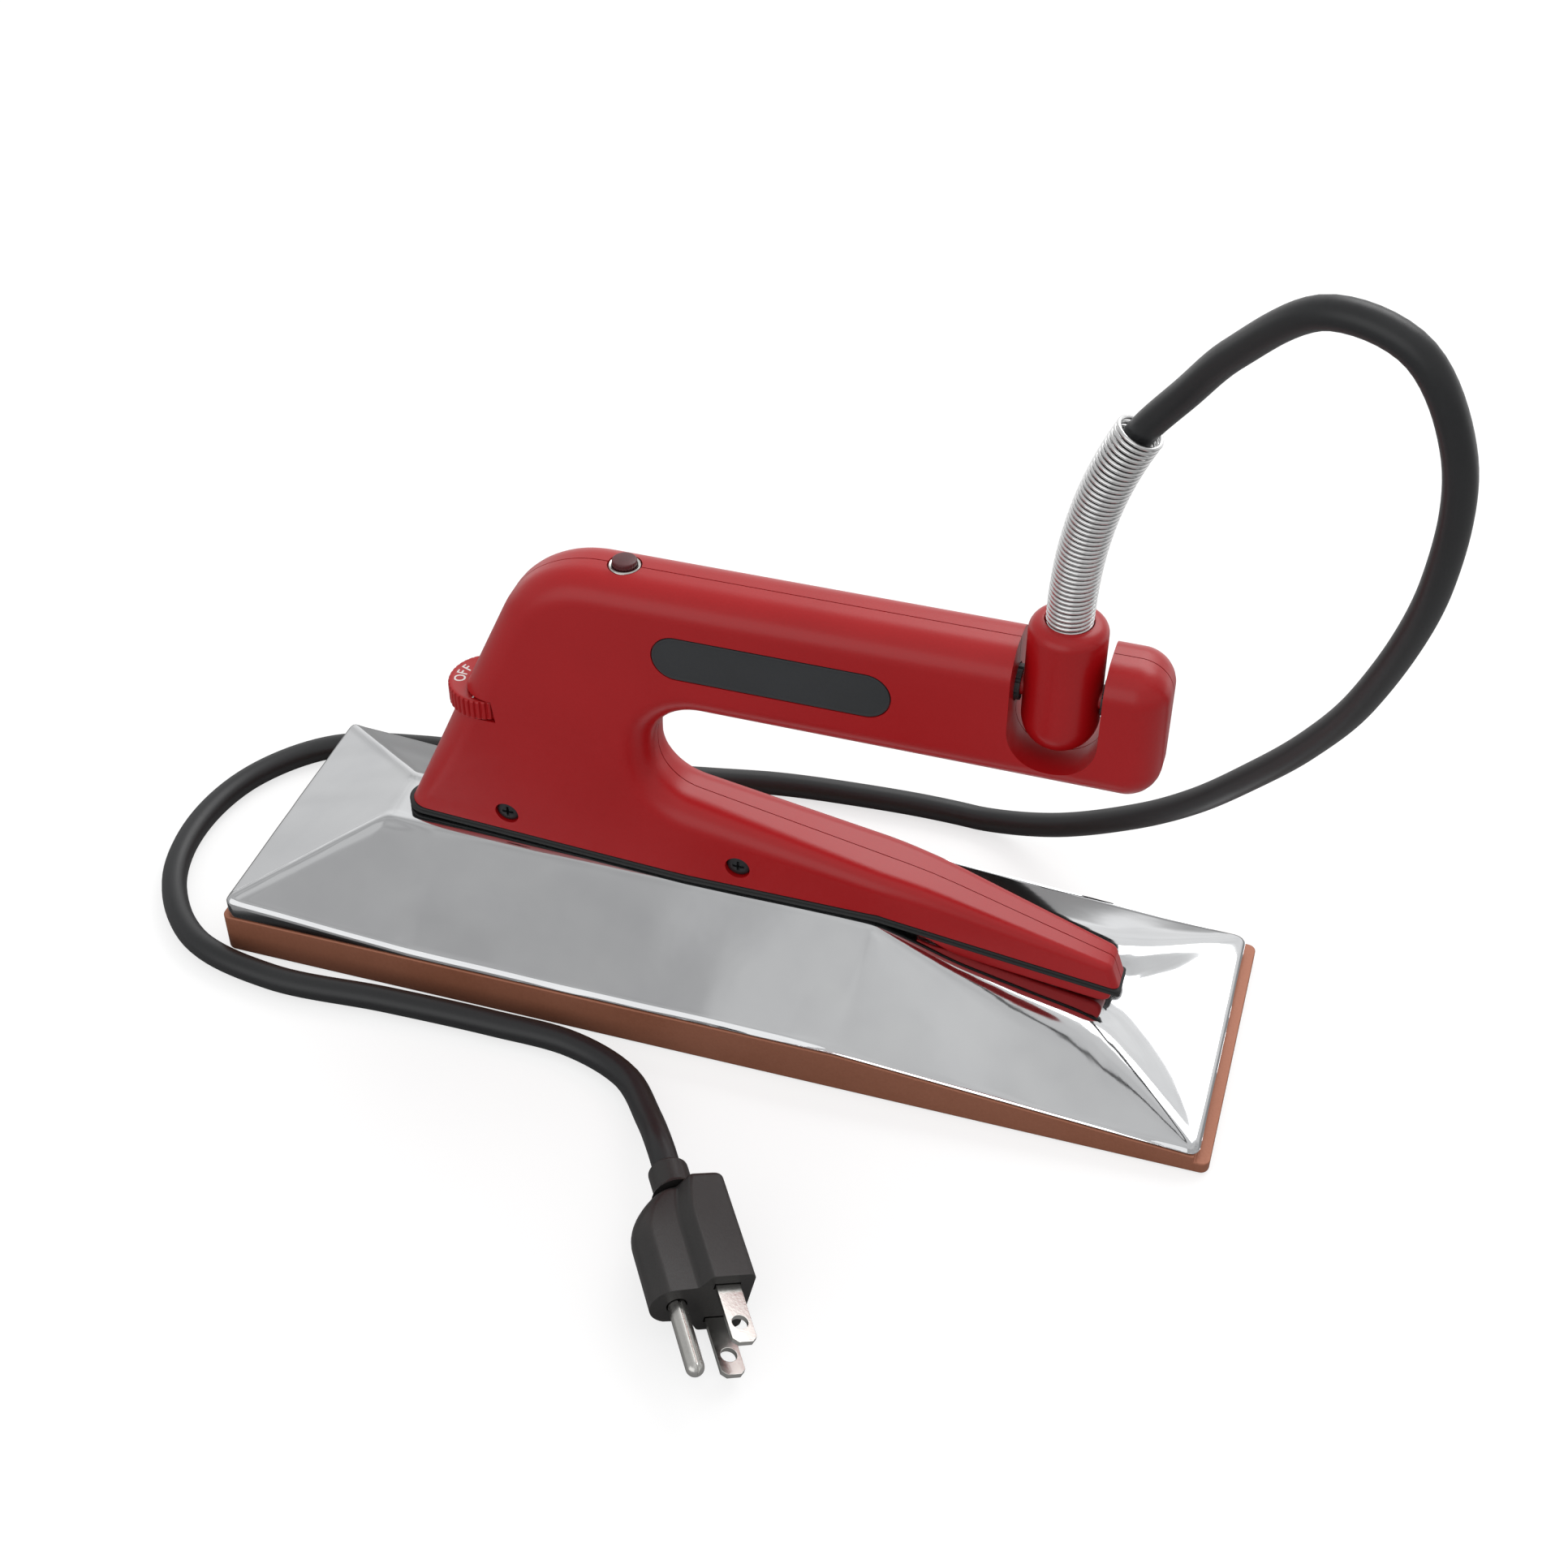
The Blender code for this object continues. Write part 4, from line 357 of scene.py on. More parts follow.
# Material helpers
def linear(colour):
    """An sRGB hex colour as the linear value that a node takes."""
    made = []
    for i in (1, 3, 5):
        value = int(colour[i:i + 2], 16) / 255
        made.append(value / 12.92 if value <= 0.04045 else ((value + 0.055) / 1.055) ** 2.4)
    return (*made, 1)


def node(tree, kind, inputs, **settings):
    """Add a node. Each input takes a value, or an output of another node to be linked."""
    made = tree.nodes.new(kind)
    for name, value in settings.items():
        setattr(made, name, value)
    for name, value in inputs.items():
        if isinstance(value, bpy.types.NodeSocket):
            tree.links.new(value, made.inputs[name])
        else:
            made.inputs[name].default_value = value
    return made


def surface(name, tones, metallic, ior, gloss, clouds, grain, depth, stretch=(1, 1, 1)):
    """A procedural finish: two tones in soft clouds, uneven roughness and a bumpy grain.

    The sizes of clouds and grain are in metres, gloss is the lowest and highest roughness, and stretch draws
    the grain out along an axis.
    """
    made = bpy.data.materials.new(name)
    made.use_nodes = True
    tree = made.node_tree
    shader = tree.nodes["Principled BSDF"]
    place = node(tree, "ShaderNodeTexCoord", {}).outputs["Object"]
    drawn = node(tree, "ShaderNodeMapping", {"Vector": place, "Scale": stretch}).outputs["Vector"]
    cloud = node(tree, "ShaderNodeTexNoise", {"Vector": place, "Scale": 1 / clouds, "Detail": 3.0})
    fine = node(tree, "ShaderNodeTexNoise", {"Vector": drawn, "Scale": 1 / grain, "Detail": 2.0})
    both = node(tree, "ShaderNodeMix", {0: 0.4, 2: cloud.outputs["Fac"], 3: fine.outputs["Fac"]})
    spread = node(tree, "ShaderNodeMapRange", {"Value": both.outputs[0], "From Min": 0.3, "From Max": 0.7})
    tint = node(tree, "ShaderNodeMix", {0: spread.outputs[0], 6: linear(tones[0]), 7: linear(tones[1])},
                data_type="RGBA")
    rough = node(tree, "ShaderNodeMapRange", {"Value": both.outputs[0], "From Min": 0.3, "From Max": 0.7,
                                              "To Min": gloss[0], "To Max": gloss[1]})
    bump = node(tree, "ShaderNodeBump", {"Height": fine.outputs["Fac"], "Strength": 1.0, "Distance": depth})
    tree.links.new(tint.outputs[2], shader.inputs["Base Color"])
    tree.links.new(rough.outputs[0], shader.inputs["Roughness"])
    tree.links.new(bump.outputs["Normal"], shader.inputs["Normal"])
    shader.inputs["Metallic"].default_value = metallic
    shader.inputs["IOR"].default_value = ior
    return made


def materials():
    """Every finish of the iron, by name."""
    made = {}
    # Moulded ABS in red: satin, with a spark-eroded grain of about 0.5 mm, drawn at 0.7 mm so that it shows
    made["red_abs"] = surface("moulded_red_abs", ("#B20D13", "#BC1118"), 0, 1.5, (0.30, 0.38), 0.030, 0.0007,
                              0.00002)
    # Dark moulded ABS of the label plate and bushes: flat grey-black with the same grain
    made["black_abs"] = surface("moulded_black_abs", ("#2E3032", "#35373A"), 0, 1.54, (0.45, 0.56), 0.020,
                                0.0007,
                                0.00002)
    # EPDM rubber of the gasket: dull black with a powdery bloom
    made["rubber"] = surface("epdm_rubber", ("#1A1B1C", "#242526"), 0, 1.52, (0.5, 0.65), 0.012, 0.0006,
                             0.00002)
    # Cast aluminium with a sprayed copper-brown release coat: satin metal flake with an orange-peel skin
    made["sole"] = surface("coated_cast_aluminium", ("#A5684E", "#B2755C"), 0.3, 1.5, (0.42, 0.52), 0.025,
                           0.0008,
                           0.00004)
    # Bright chrome on pressed steel: mirror gloss over faint pressing waves about 12 mm long
    made["chrome"] = surface("chrome_plate", ("#CFD0D2", "#D8D9DA"), 1, 1.5, (0.05, 0.10), 0.040, 0.0120,
                             0.00003)
    # Zinc plate on turned and pressed steel: grey metal with a dull, finely drawn shine
    made["zinc"] = surface("zinc_plated_steel", ("#A7AAAD", "#B9BCBE"), 1, 1.5, (0.28, 0.4), 0.010, 0.0008,
                           0.00001)
    # Bright spring wire, drawn and nickel plated: sharp highlights along each turn
    made["wire"] = surface("nickel_plated_spring_wire", ("#E6E6E6", "#F0F0F0"), 1, 1.5, (0.18, 0.28),
                           0.008, 0.0006,
                           0.000004)
    # Nickel-plated brass of the plug's pins: warm white metal with a fine grain
    made["nickel"] = surface("nickel_plated_brass", ("#C9C8C4", "#D6D5D1"), 1, 1.5, (0.18, 0.28), 0.012,
                             0.0007,
                             0.00001)
    # Soft PVC jacket of the cord: near black with a waxy sheen
    made["cord"] = surface("pvc_cord_jacket", ("#1C1D1F", "#232426"), 0, 1.53, (0.36, 0.46), 0.020, 0.0009,
                           0.00001)
    # Moulded PVC of the plug: near black, with a sand-blasted grain of about 0.8 mm
    made["plug"] = surface("moulded_pvc_plug", ("#252424", "#2F2D2C"), 0, 1.53, (0.36, 0.46), 0.015, 0.0008,
                           0.00004)
    # Polycarbonate lens with the lamp off: dark wine red, glossy skin over a speckled body
    made["lens"] = surface("dyed_polycarbonate", ("#480F16", "#5C171E"), 0, 1.58, (0.34, 0.44), 0.004, 0.0005,
                           0.00002)
    # Steatite body of the thermostat: chalky off-white ceramic
    made["ceramic"] = surface("steatite_ceramic", ("#DAD5C7", "#E6E1D5"), 0, 1.6, (0.55, 0.7), 0.008, 0.0006,
                              0.00002)
    # Neon lamp: clear glass with a pink-orange glow tube inside
    made["glass"] = surface("neon_lamp_glass", ("#D9A48C", "#E3B7A2"), 0, 1.52, (0.05, 0.12), 0.004, 0.0008,
                            0.00001)
    # Sheathed heating element: steel tube heated to a straw-brown oxide
    made["element"] = surface("oxidised_steel_tube", ("#6E655C", "#82786C"), 1, 1.5, (0.35, 0.5), 0.015,
                              0.0008,
                              0.00001)
    # Glass-fibre sleeving of the leads: pale, with a braid of about 0.5 mm
    made["sleeve"] = surface("glass_fibre_sleeve", ("#CFC8B8", "#DDD7C9"), 0, 1.5, (0.6, 0.75), 0.006, 0.0005,
                             0.00004)
    # Black-oxide screws: dark grey steel, oiled
    made["black_steel"] = surface("black_oxide_steel", ("#3A3B3D", "#47484A"), 0.7, 1.5, (0.34, 0.46),
                                  0.004, 0.0006,
                                  0.00001)
    # White pad-printing ink on the dial
    made["ink"] = surface("pad_printed_ink", ("#EDE6E4", "#F4EFED"), 0, 1.5, (0.4, 0.5), 0.004, 0.0004,
                          0.00001)
    return made


# Mesh helpers
def piece(name, verts, faces):
    mesh = bpy.data.meshes.new(name)
    mesh.from_pydata([tuple(v) for v in verts], [], faces)
    edit = bmesh.new()
    edit.from_mesh(mesh)
    bmesh.ops.recalc_face_normals(edit, faces=edit.faces)
    edit.to_mesh(mesh)
    edit.free()
    made = bpy.data.objects.new(name, mesh)
    bpy.context.scene.collection.objects.link(made)
    return made


def settle(made):
    """Turn what the modifiers make into the piece's own mesh."""
    graph = bpy.context.evaluated_depsgraph_get()
    mesh = bpy.data.meshes.new_from_object(made.evaluated_get(graph), depsgraph=graph)
    made.modifiers.clear()
    made.data = mesh


def combine(made, operation, tools):
    """Cut the tools from the piece, or join them to it, and remove them."""
    for tool in tools:
        modifier = made.modifiers.new(tool.name, "BOOLEAN")
        modifier.object = tool
        modifier.operation = operation
        modifier.solver = "EXACT"
    settle(made)
    for tool in tools:
        bpy.data.objects.remove(tool, do_unlink=True)


def cut(made, *tools):
    combine(made, "DIFFERENCE", tools)


def soften(made, width, segments=3, angle=40):
    """Round the piece's sharp edges."""
    modifier = made.modifiers.new("edge", "BEVEL")
    modifier.width = width
    modifier.segments = segments
    modifier.limit_method = "ANGLE"
    modifier.angle_limit = math.radians(angle)
    settle(made)


def dress(made, finish, body, slot, *nodes, sharp=33):
    """Give the piece its finish and smooth shading, and put it in place of its CAD nodes."""
    made.data.materials.clear()
    made.data.materials.append(finish)
    if made.type == "MESH":
        made.data.shade_smooth()
        made.data.set_sharp_from_angle(angle=math.radians(sharp))
        weigh = made.modifiers.new("normals", "WEIGHTED_NORMAL")
        weigh.keep_sharp = True
    if body:
        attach(made, body)
    if nodes:
        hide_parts(*nodes)
    return made


def prism(name, outline, low, high, to_point):
    """Extrude a closed 2-D outline between two levels; to_point turns (u, v, level) into a place."""
    count = len(outline)
    verts = [to_point(u, v, level) for level in (low, high) for u, v in outline]
    faces = [tuple(reversed(range(count))), tuple(range(count, 2 * count))]
    faces += [(i, (i + 1) % count, (i + 1) % count + count, i + count) for i in range(count)]
    return piece(name, verts, faces)


def box(name, low, high):
    outline = [(low[0], low[1]), (high[0], low[1]), (high[0], high[1]), (low[0], high[1])]
    return prism(name, outline, low[2], high[2], lambda u, v, z: (u, v, z))


def axis_point(centre, axis, across, up, along):
    if axis == "X":
        return Vector(centre) + Vector((along, across, up))
    if axis == "Y":
        return Vector(centre) + Vector((across, along, up))
    return Vector(centre) + Vector((across, up, along))


def turned(name, profile, centre, axis="Z", sides=ROUND, closed=False, ripple=None):
    """Turn a profile of (radius, height) pairs round an axis; ripple changes the radius with the angle."""
    verts = []
    for radius, height in profile:
        for i in range(sides):
            angle = math.tau * (i + 0.5) / sides
            r = ripple(radius, height, angle) if ripple else radius
            verts.append(axis_point(centre, axis, r * math.cos(angle), r * math.sin(angle), height))
    faces = []
    rows = len(profile)
    for row in range(rows if closed else rows - 1):
        below = row * sides
        above = (row + 1) % rows * sides
        for i in range(sides):
            j = (i + 1) % sides
            faces.append((below + i, below + j, above + j, above + i))
    if not closed:
        faces.append(tuple(range(sides)))
        faces.append(tuple(range((rows - 1) * sides, rows * sides)))
    return piece(name, verts, faces)


def rod(name, centre, radius, low, high, axis="Z", sides=32):
    return turned(name, [(radius, low), (radius, high)], centre, axis, sides)


def stacked(name, loops, halves=False):
    """Skin a stack of closed loops; the ends are closed by one face, or by strips from side to side."""
    count = len(loops[0])
    verts = [point for loop in loops for point in loop]
    faces = []
    for row in range(len(loops) - 1):
        for i in range(count):
            j = (i + 1) % count
            faces.append((row * count + i, row * count + j, (row + 1) * count + j, (row + 1) * count + i))
    for base in (0, (len(loops) - 1) * count):
        if halves:
            for k in range(count // 2 - 1):
                faces.append((base + k, base + k + 1, base + count - 2 - k, base + count - 1 - k))
        else:
            faces.append(tuple(range(base, base + count)))
    return piece(name, verts, faces)


def arc_rows(radius, steps):
    """(inset, drop) pairs of a quarter round, from its side to its top."""
    return [(radius * (1 - math.cos(a)), radius * (1 - math.sin(a)))
            for a in (math.pi / 2 * k / steps for k in range(steps + 1))]


def mix(start, end, share):
    return start + (end - start) * share


# Curves
def smooth_curve(points, step):
    """Points a step apart on a centripetal Catmull-Rom curve through the given ones."""
    points = [Vector(p) for p in points]
    padded = [2 * points[0] - points[1]] + points + [2 * points[-1] - points[-2]]
    dense = []
    for i in range(1, len(padded) - 2):
        corners = padded[i - 1:i + 3]
        pieces = max(4, round((corners[2] - corners[1]).length / step) * 4)
        dense += [catmull_rom(corners, k / pieces) for k in range(pieces)]
    dense.append(points[-1])
    return even_points(dense, step)


def catmull_rom(corners, t):
    knots = [0]
    for a, b in zip(corners, corners[1:]):
        knots.append(knots[-1] + math.sqrt((b - a).length))
    u = knots[1] + t * (knots[2] - knots[1])
    level = corners
    spans = (((0, 1), (1, 2), (2, 3)), ((0, 2), (1, 3)), ((1, 2),))
    for order in spans:
        level = [level[i].lerp(level[i + 1], (u - knots[low]) / (knots[high] - knots[low]))
                 for i, (low, high) in enumerate(order)]
    return level[0]


def even_points(dense, step):
    lengths = [0]
    for a, b in zip(dense, dense[1:]):
        lengths.append(lengths[-1] + (b - a).length)
    count = max(2, round(lengths[-1] / step))
    made = []
    cursor = 0
    for k in range(count + 1):
        target = lengths[-1] * k / count
        while cursor < len(dense) - 2 and lengths[cursor + 1] < target:
            cursor += 1
        span = lengths[cursor + 1] - lengths[cursor]
        made.append(dense[cursor].lerp(dense[cursor + 1], min(1, (target - lengths[cursor]) / span)))
    return made


def tube_loops(points, radius, sides):
    """Rings round a path, each turned as little as possible from the one before."""
    loops = []
    across = Vector((0, 1, 0))
    for i, point in enumerate(points):
        ahead = (points[min(i + 1, len(points) - 1)] - points[max(i - 1, 0)]).normalized()
        across = (across - ahead * across.dot(ahead)).normalized()
        up = ahead.cross(across)
        loops.append([point + (across * math.cos(a) + up * math.sin(a)) * radius
                      for a in (math.tau * k / sides for k in range(sides))])
    return loops


# Plug
def plug_section(along, steps=7):
    """Outline across the plug's body: a box on the blade side and a round lobe about the earth pin."""
    reach = max(0, (-along - PLUG_LOBE_L) / (PLUG_L - PLUG_LOBE_L)) ** 2
    short = min(PLUG_REAR_R, max(0, PLUG_REAR_R - PLUG_L - along))
    inset = PLUG_REAR_R - math.sqrt(PLUG_REAR_R ** 2 - short ** 2)
    middle = mix(BLADE_OFFSET - EARTH_SPACING, COLLAR_AT, reach)
    half_w = mix(PLUG_LOBE_HALF_W, COLLAR_R, reach) - inset
    half_h = mix(PLUG_LOBE_HALF_H, COLLAR_R, reach) - inset
    edge = mix(PLUG_BOX_EDGE, PLUG_BOX_EDGE_REAR, reach)
    top = PLUG_HALF_H - inset
    upper = [(PLUG_BLADE_SIDE - inset, top, PLUG_CORNER_R), (edge, top, PLUG_CORNER_R),
             (edge - PLUG_VALLEY_W, half_h, PLUG_CORNER_R)]
    lobe = []
    for k in range(17):
        angle = math.radians(110) + math.radians(140) * k / 16
        lobe.append((middle + half_w * math.cos(angle), half_h * math.sin(angle), 0))
    return fillet_outline(upper + lobe + [(v, -w, r) for v, w, r in reversed(upper)], steps=steps)


def plug_frame():
    """Middle of the plug's front face, its outward direction, its blade side and its upper side."""
    ahead = Vector((math.sin(PLUG_TURN), -math.cos(PLUG_TURN), 0))
    level = Vector((math.cos(PLUG_TURN), math.sin(PLUG_TURN), 0))
    side = level * math.cos(PLUG_ROLL) + Vector((0, 0, math.sin(PLUG_ROLL)))
    up = ahead.cross(side)
    lowest = min((side * v + up * w).z for v, w in plug_section(0))
    return Vector((from_nose(PLUG_AT[0]), PLUG_AT[1], FLOOR_GAP - lowest)), ahead, side, up


def plug_point(along, across, up):
    origin, ahead, side, above = PLUG_PLACE
    return origin + ahead * along + side * across + above * up


# Outlines
def fillet_outline(corners, arc_step=math.radians(3.5), steps=None):
    """Closed outline from (u, v, radius) corners, with each corner turned into an arc."""
    made = []
    count = len(corners)
    for i, (u, v, radius) in enumerate(corners):
        corner = Vector((u, v))
        back = (Vector(corners[i - 1][:2]) - corner).normalized()
        ahead = (Vector(corners[(i + 1) % count][:2]) - corner).normalized()
        opening = back.angle(ahead)
        turn = math.pi - opening
        if radius == 0 or turn < math.radians(2):
            made.append(corner)
            continue
        centre = corner + (back + ahead).normalized() * radius / math.sin(opening / 2)
        start = corner + back * radius / math.tan(opening / 2) - centre
        end = corner + ahead * radius / math.tan(opening / 2) - centre
        pieces = steps or max(2, round(turn / arc_step))
        side = 1 if start.x * end.y > start.y * end.x else -1
        made += [centre + Matrix.Rotation(side * turn * k / pieces, 2) @ start for k in range(pieces + 1)]
    return made


def split_long_edges(outline, longest):
    made = []
    for a, b in zip(outline, outline[1:] + outline[:1]):
        pieces = max(1, math.ceil((b - a).length / longest))
        made += [a.lerp(b, k / pieces) for k in range(pieces)]
    return made


def inward_normals(outline):
    """Miter directions that point into a counter-clockwise outline, scaled to keep an even inset."""
    made = []
    count = len(outline)
    for i in range(count):
        back = (outline[i] - outline[i - 1]).normalized()
        ahead = (outline[(i + 1) % count] - outline[i]).normalized()
        left = Vector((-back.y, back.x)) + Vector((-ahead.y, ahead.x))
        half = left.normalized()
        made.append(half / max(0.5, half.dot(Vector((-ahead.y, ahead.x)))))
    return made


PLUG_PLACE = plug_frame()


# Cord, from inside the gland, out of the spring, down behind the iron and round it to the plug
def spring_axis(share):
    """Centre line of the strain relief: straight in the gland, then leaning back in a steady curve."""
    base = Vector((from_nose(GLAND_AT), 0, SPRING_START_Z))
    straight = GLAND_TOP_Z - base.z
    height = share * (straight + SPRING_TOP_RISE)
    reach = max(0, (height - straight) / SPRING_TOP_RISE)
    lean = SPRING_TOP_SHIFT * ((1 - SPRING_BEND_SHARE) * reach ** 2 + SPRING_BEND_SHARE * reach ** 3)
    return base + Vector((lean, 0, height))


def cord_path():
    centre = (from_nose(GLAND_AT), 0)
    route = [Vector((*centre, CORD_END_Z)), Vector((*centre, SPRING_SEAT_Z))]
    route += [spring_axis(share) for share in (0.35, 0.6, 0.8, 0.97)]
    route += [Vector((from_nose(x), y, z + FLOOR_GAP)) for x, y, z in CORD_ROUTE]
    end = -PLUG_L - 2 * GAP - COLLAR_L
    last = plug_point(end, COLLAR_AT, 0)
    falling = plug_point(end - 6 * CORD_R, COLLAR_AT, 0)
    falling.z = mix(last.z, CORD_R + FLOOR_GAP, 0.55)
    route += [falling, plug_point(end - 2 * CORD_R, COLLAR_AT, 0), last]
    made = smooth_curve(route, CORD_STEP)
    for point in made:
        point.z = max(point.z, CORD_R + FLOOR_GAP)
    return made


def power_cord(finish, plug_pieces):
    path = cord_path()
    made = stacked("cord", tube_loops(path, CORD_R, 20))
    dress(made, finish["cord"], None, "cord_jacket", "power_cord", sharp=60)
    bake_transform(made)


def plug_body(finish):
    stations = [0, -PLUG_LOBE_L / 2, -PLUG_LOBE_L]
    stations += [mix(-PLUG_LOBE_L, PLUG_REAR_R - PLUG_L, k / 10) for k in range(1, 11)]
    stations += [PLUG_REAR_R - PLUG_L - PLUG_REAR_R * math.sin(math.pi / 2 * k / 7) for k in range(1, 8)]
    body = stacked("plug_shell", [[plug_point(a, v, w) for v, w in plug_section(a)] for a in stations])
    soften(body, PLUG_RIM_R, segments=4)
    tools = []
    half = BLADE_W / 2 + GAP
    for up in (BLADE_SPACING / 2, -BLADE_SPACING / 2):
        outline = [(-BLADE_ROOT - GAP, BLADE_OFFSET - half), (OVERRUN, BLADE_OFFSET - half),
                   (OVERRUN, BLADE_OFFSET + half), (-BLADE_ROOT - GAP, BLADE_OFFSET + half)]
        tools.append(prism(f"socket_{up}", outline, up - BLADE_T / 2 - GAP, up + BLADE_T / 2 + GAP, plug_point))
    circle = [(BLADE_OFFSET - EARTH_SPACING + (EARTH_R + GAP) * math.cos(a), (EARTH_R + GAP) * math.sin(a))
              for a in (math.tau * k / 32 for k in range(32))]
    tools.append(prism("earth_socket", circle, -BLADE_ROOT - GAP, OVERRUN, lambda v, w, a: plug_point(a, v, w)))
    cut(body, *tools)
    return dress(body, finish["plug"], "iron", "plug_moulding", "plug_body")


def plug_blade(finish, name, up, *nodes):
    half = BLADE_W / 2
    c = BLADE_CHAMFER
    outline = [(-BLADE_ROOT, -half), (BLADE_L - c, -half), (BLADE_L, -half + c), (BLADE_L, half - c),
               (BLADE_L - c, half), (-BLADE_ROOT, half)]
    outline = [(u, v + BLADE_OFFSET) for u, v in outline]
    made = prism(name, outline, up - BLADE_T / 2, up + BLADE_T / 2, plug_point)
    hole = [(BLADE_HOLE_AT + BLADE_HOLE_R * math.cos(a), BLADE_OFFSET + BLADE_HOLE_R * math.sin(a))
            for a in (math.tau * k / 32 for k in range(32))]
    cut(made, prism(f"{name}_hole", hole, up - BLADE_T, up + BLADE_T, plug_point))
    soften(made, BLADE_EDGE_R, segments=2, angle=30)
    return dress(made, finish["nickel"], "iron", "nickel", *nodes)


def plug_round(name, profile, across, fold=0):
    """A piece turned about the plug's own direction; fold cuts a lengthwise line into one side of it."""
    rows = []
    for radius, along in profile:
        row = []
        for k in range(48):
            angle = math.tau * k / 48
            r = radius - (fold if k in (11, 12) else 0)
            row.append(plug_point(along, across + r * math.cos(angle), r * math.sin(angle)))
        rows.append(row)
    return stacked(name, rows)


def plug(finish):
    body = plug_body(finish)
    low = PLUG_L + GAP
    end = [(COLLAR_R - inset, -low - COLLAR_L + drop) for inset, drop in arc_rows(COLLAR_EDGE_R, 4)]
    foot = [(COLLAR_R + proud, -low - along) for proud, along in COLLAR_FOOT]
    collar = plug_round("plug_strain_collar", foot + end, COLLAR_AT)
    dress(collar, finish["plug"], "iron", "plug_moulding", "plug_collar")
    upper = plug_blade(finish, "blade_upper", BLADE_SPACING / 2, "plug_blade_upper")
    lower = plug_blade(finish, "blade_lower", -BLADE_SPACING / 2, "plug_blade_lower")
    tip = EARTH_L - EARTH_R
    profile = [(EARTH_R, -BLADE_ROOT), (EARTH_R, 0)]
    profile += [(EARTH_R * math.cos(a), tip + EARTH_R * math.sin(a))
                for a in (math.radians(11 * k) for k in range(9))]
    pin = plug_round("earth_pin", profile, BLADE_OFFSET - EARTH_SPACING, fold=EARTH_SEAM_D)
    dress(pin, finish["nickel"], "iron", "nickel", "plug_earth_pin")
    return [body, collar, upper, lower, pin]


# Handle
def front_x(z, inset=0):
    """The leaning front line of the handle at a height, moved in by an inset."""
    return FOOT_NOSE + (z - FOOT_Z) * math.tan(FRONT_LEAN) + inset / math.cos(FRONT_LEAN)


def back_z(x):
    """Top of the lower body between the hook and the back bend."""
    return mix(BACK_BEND_Z, HOOK_LOW_Z, (x - BACK_BEND) / (HOOK_FRONT - BACK_BEND))


def foot_line(x):
    """Height of the shells' lower edge, level at first and falling along the tail."""
    return FOOT_Z - max(0, x - KINK) * TAIL_SLOPE


def handle_corners():
    """Corners of the handle's side outline, counter-clockwise seen from -Y, as (x, z, radius)."""
    end_lean = (TAIL_REAR - TAIL_TOP_REAR) / (TAIL_TOP_Z - foot_line(TAIL_REAR))
    return [
        (front_x(UNDERCUT_Z), UNDERCUT_Z, 0),
        (TAIL_REAR + (foot_line(TAIL_REAR) - UNDERCUT_Z) * end_lean, UNDERCUT_Z, 0),
        (TAIL_TOP_REAR, TAIL_TOP_Z, TAIL_R),
        (BACK_BEND, BACK_BEND_Z, BACK_BEND_R),
        (HOOK_FRONT, HOOK_LOW_Z, HOOK_LOW_R),
        (HOOK_FRONT, GRIP_BOTTOM_Z, HOOK_TOP_R),
        (GRIP_REAR, GRIP_BOTTOM_Z, GRIP_REAR_R),
        (GRIP_REAR, GRIP_TOP_Z, GRIP_REAR_R),
        (front_x(GRIP_TOP_Z), GRIP_TOP_Z, BROW_R),
    ]


def hollow_corners():
    """The hollow in both shells: open below, closed ahead of the notch and of the solid tail."""
    bulkhead = GLAND_AT - NOTCH_HALF_L - GRIP_BULKHEAD
    rear = HOOK_FRONT - WALL
    top = GRIP_TOP_Z - WALL
    return [
        (front_x(UNDERCUT_Z, WALL), UNDERCUT_Z, 0),
        (KINK, UNDERCUT_Z, 0),
        (KINK, back_z(KINK) - WALL, 0),
        (rear, back_z(rear) - WALL, HOOK_LOW_R + WALL),
        (rear, GRIP_BOTTOM_Z + WALL, HOOK_TOP_R + WALL),
        (bulkhead, GRIP_BOTTOM_Z + WALL, 0),
        (bulkhead, top, 0),
        (front_x(top, WALL), top, BROW_R - WALL),
    ]


def edge_radius(point):
    """Radius of the handle's outer edge where the outline passes this point: smaller along the tail."""
    x, z = point
    reach = min(1, max(0, (x - HOOK_FRONT) / (TAIL_REAR - HOOK_FRONT)))
    hook = min(1, max(0, (GRIP_BOTTOM_Z - z) / (GRIP_BOTTOM_Z - HOOK_LOW_Z)))
    return mix(EDGE_R, TAIL_EDGE_R, reach * hook)


def half_width(x, z):
    """Half width of the handle: the foot narrows to the nose, and the tail narrows at every height."""
    width = HANDLE_HALF_W
    if x < NOSE_TAPER_END:
        low = min(1, max(0, 1 - (z - FOOT_Z) / NOSE_TAPER_H))
        width -= NOSE_TAPER * low * (NOSE_TAPER_END - x) / (NOSE_TAPER_END - FOOT_NOSE)
    if x > KINK and z < GRIP_BOTTOM_Z - OVERRUN:
        width -= (HANDLE_HALF_W - TAIL_HALF_W) * min(1, (x - KINK) / (TAIL_REAR - KINK))
    return width


def inner_half_width(x, z):
    return half_width(x, z) - WALL


def clear_inside(point, outline, margin):
    inside = False
    for a, b in zip(outline, outline[1:] + outline[:1]):
        if (a.y > point.y) != (b.y > point.y) and point.x < a.x + (b.x - a.x) * (point.y - a.y) / (b.y - a.y):
            inside = not inside
        along = b - a
        share = min(1, max(0, (point - a).dot(along) / along.length_squared))
        if (a + along * share - point).length < margin:
            return False
    return inside


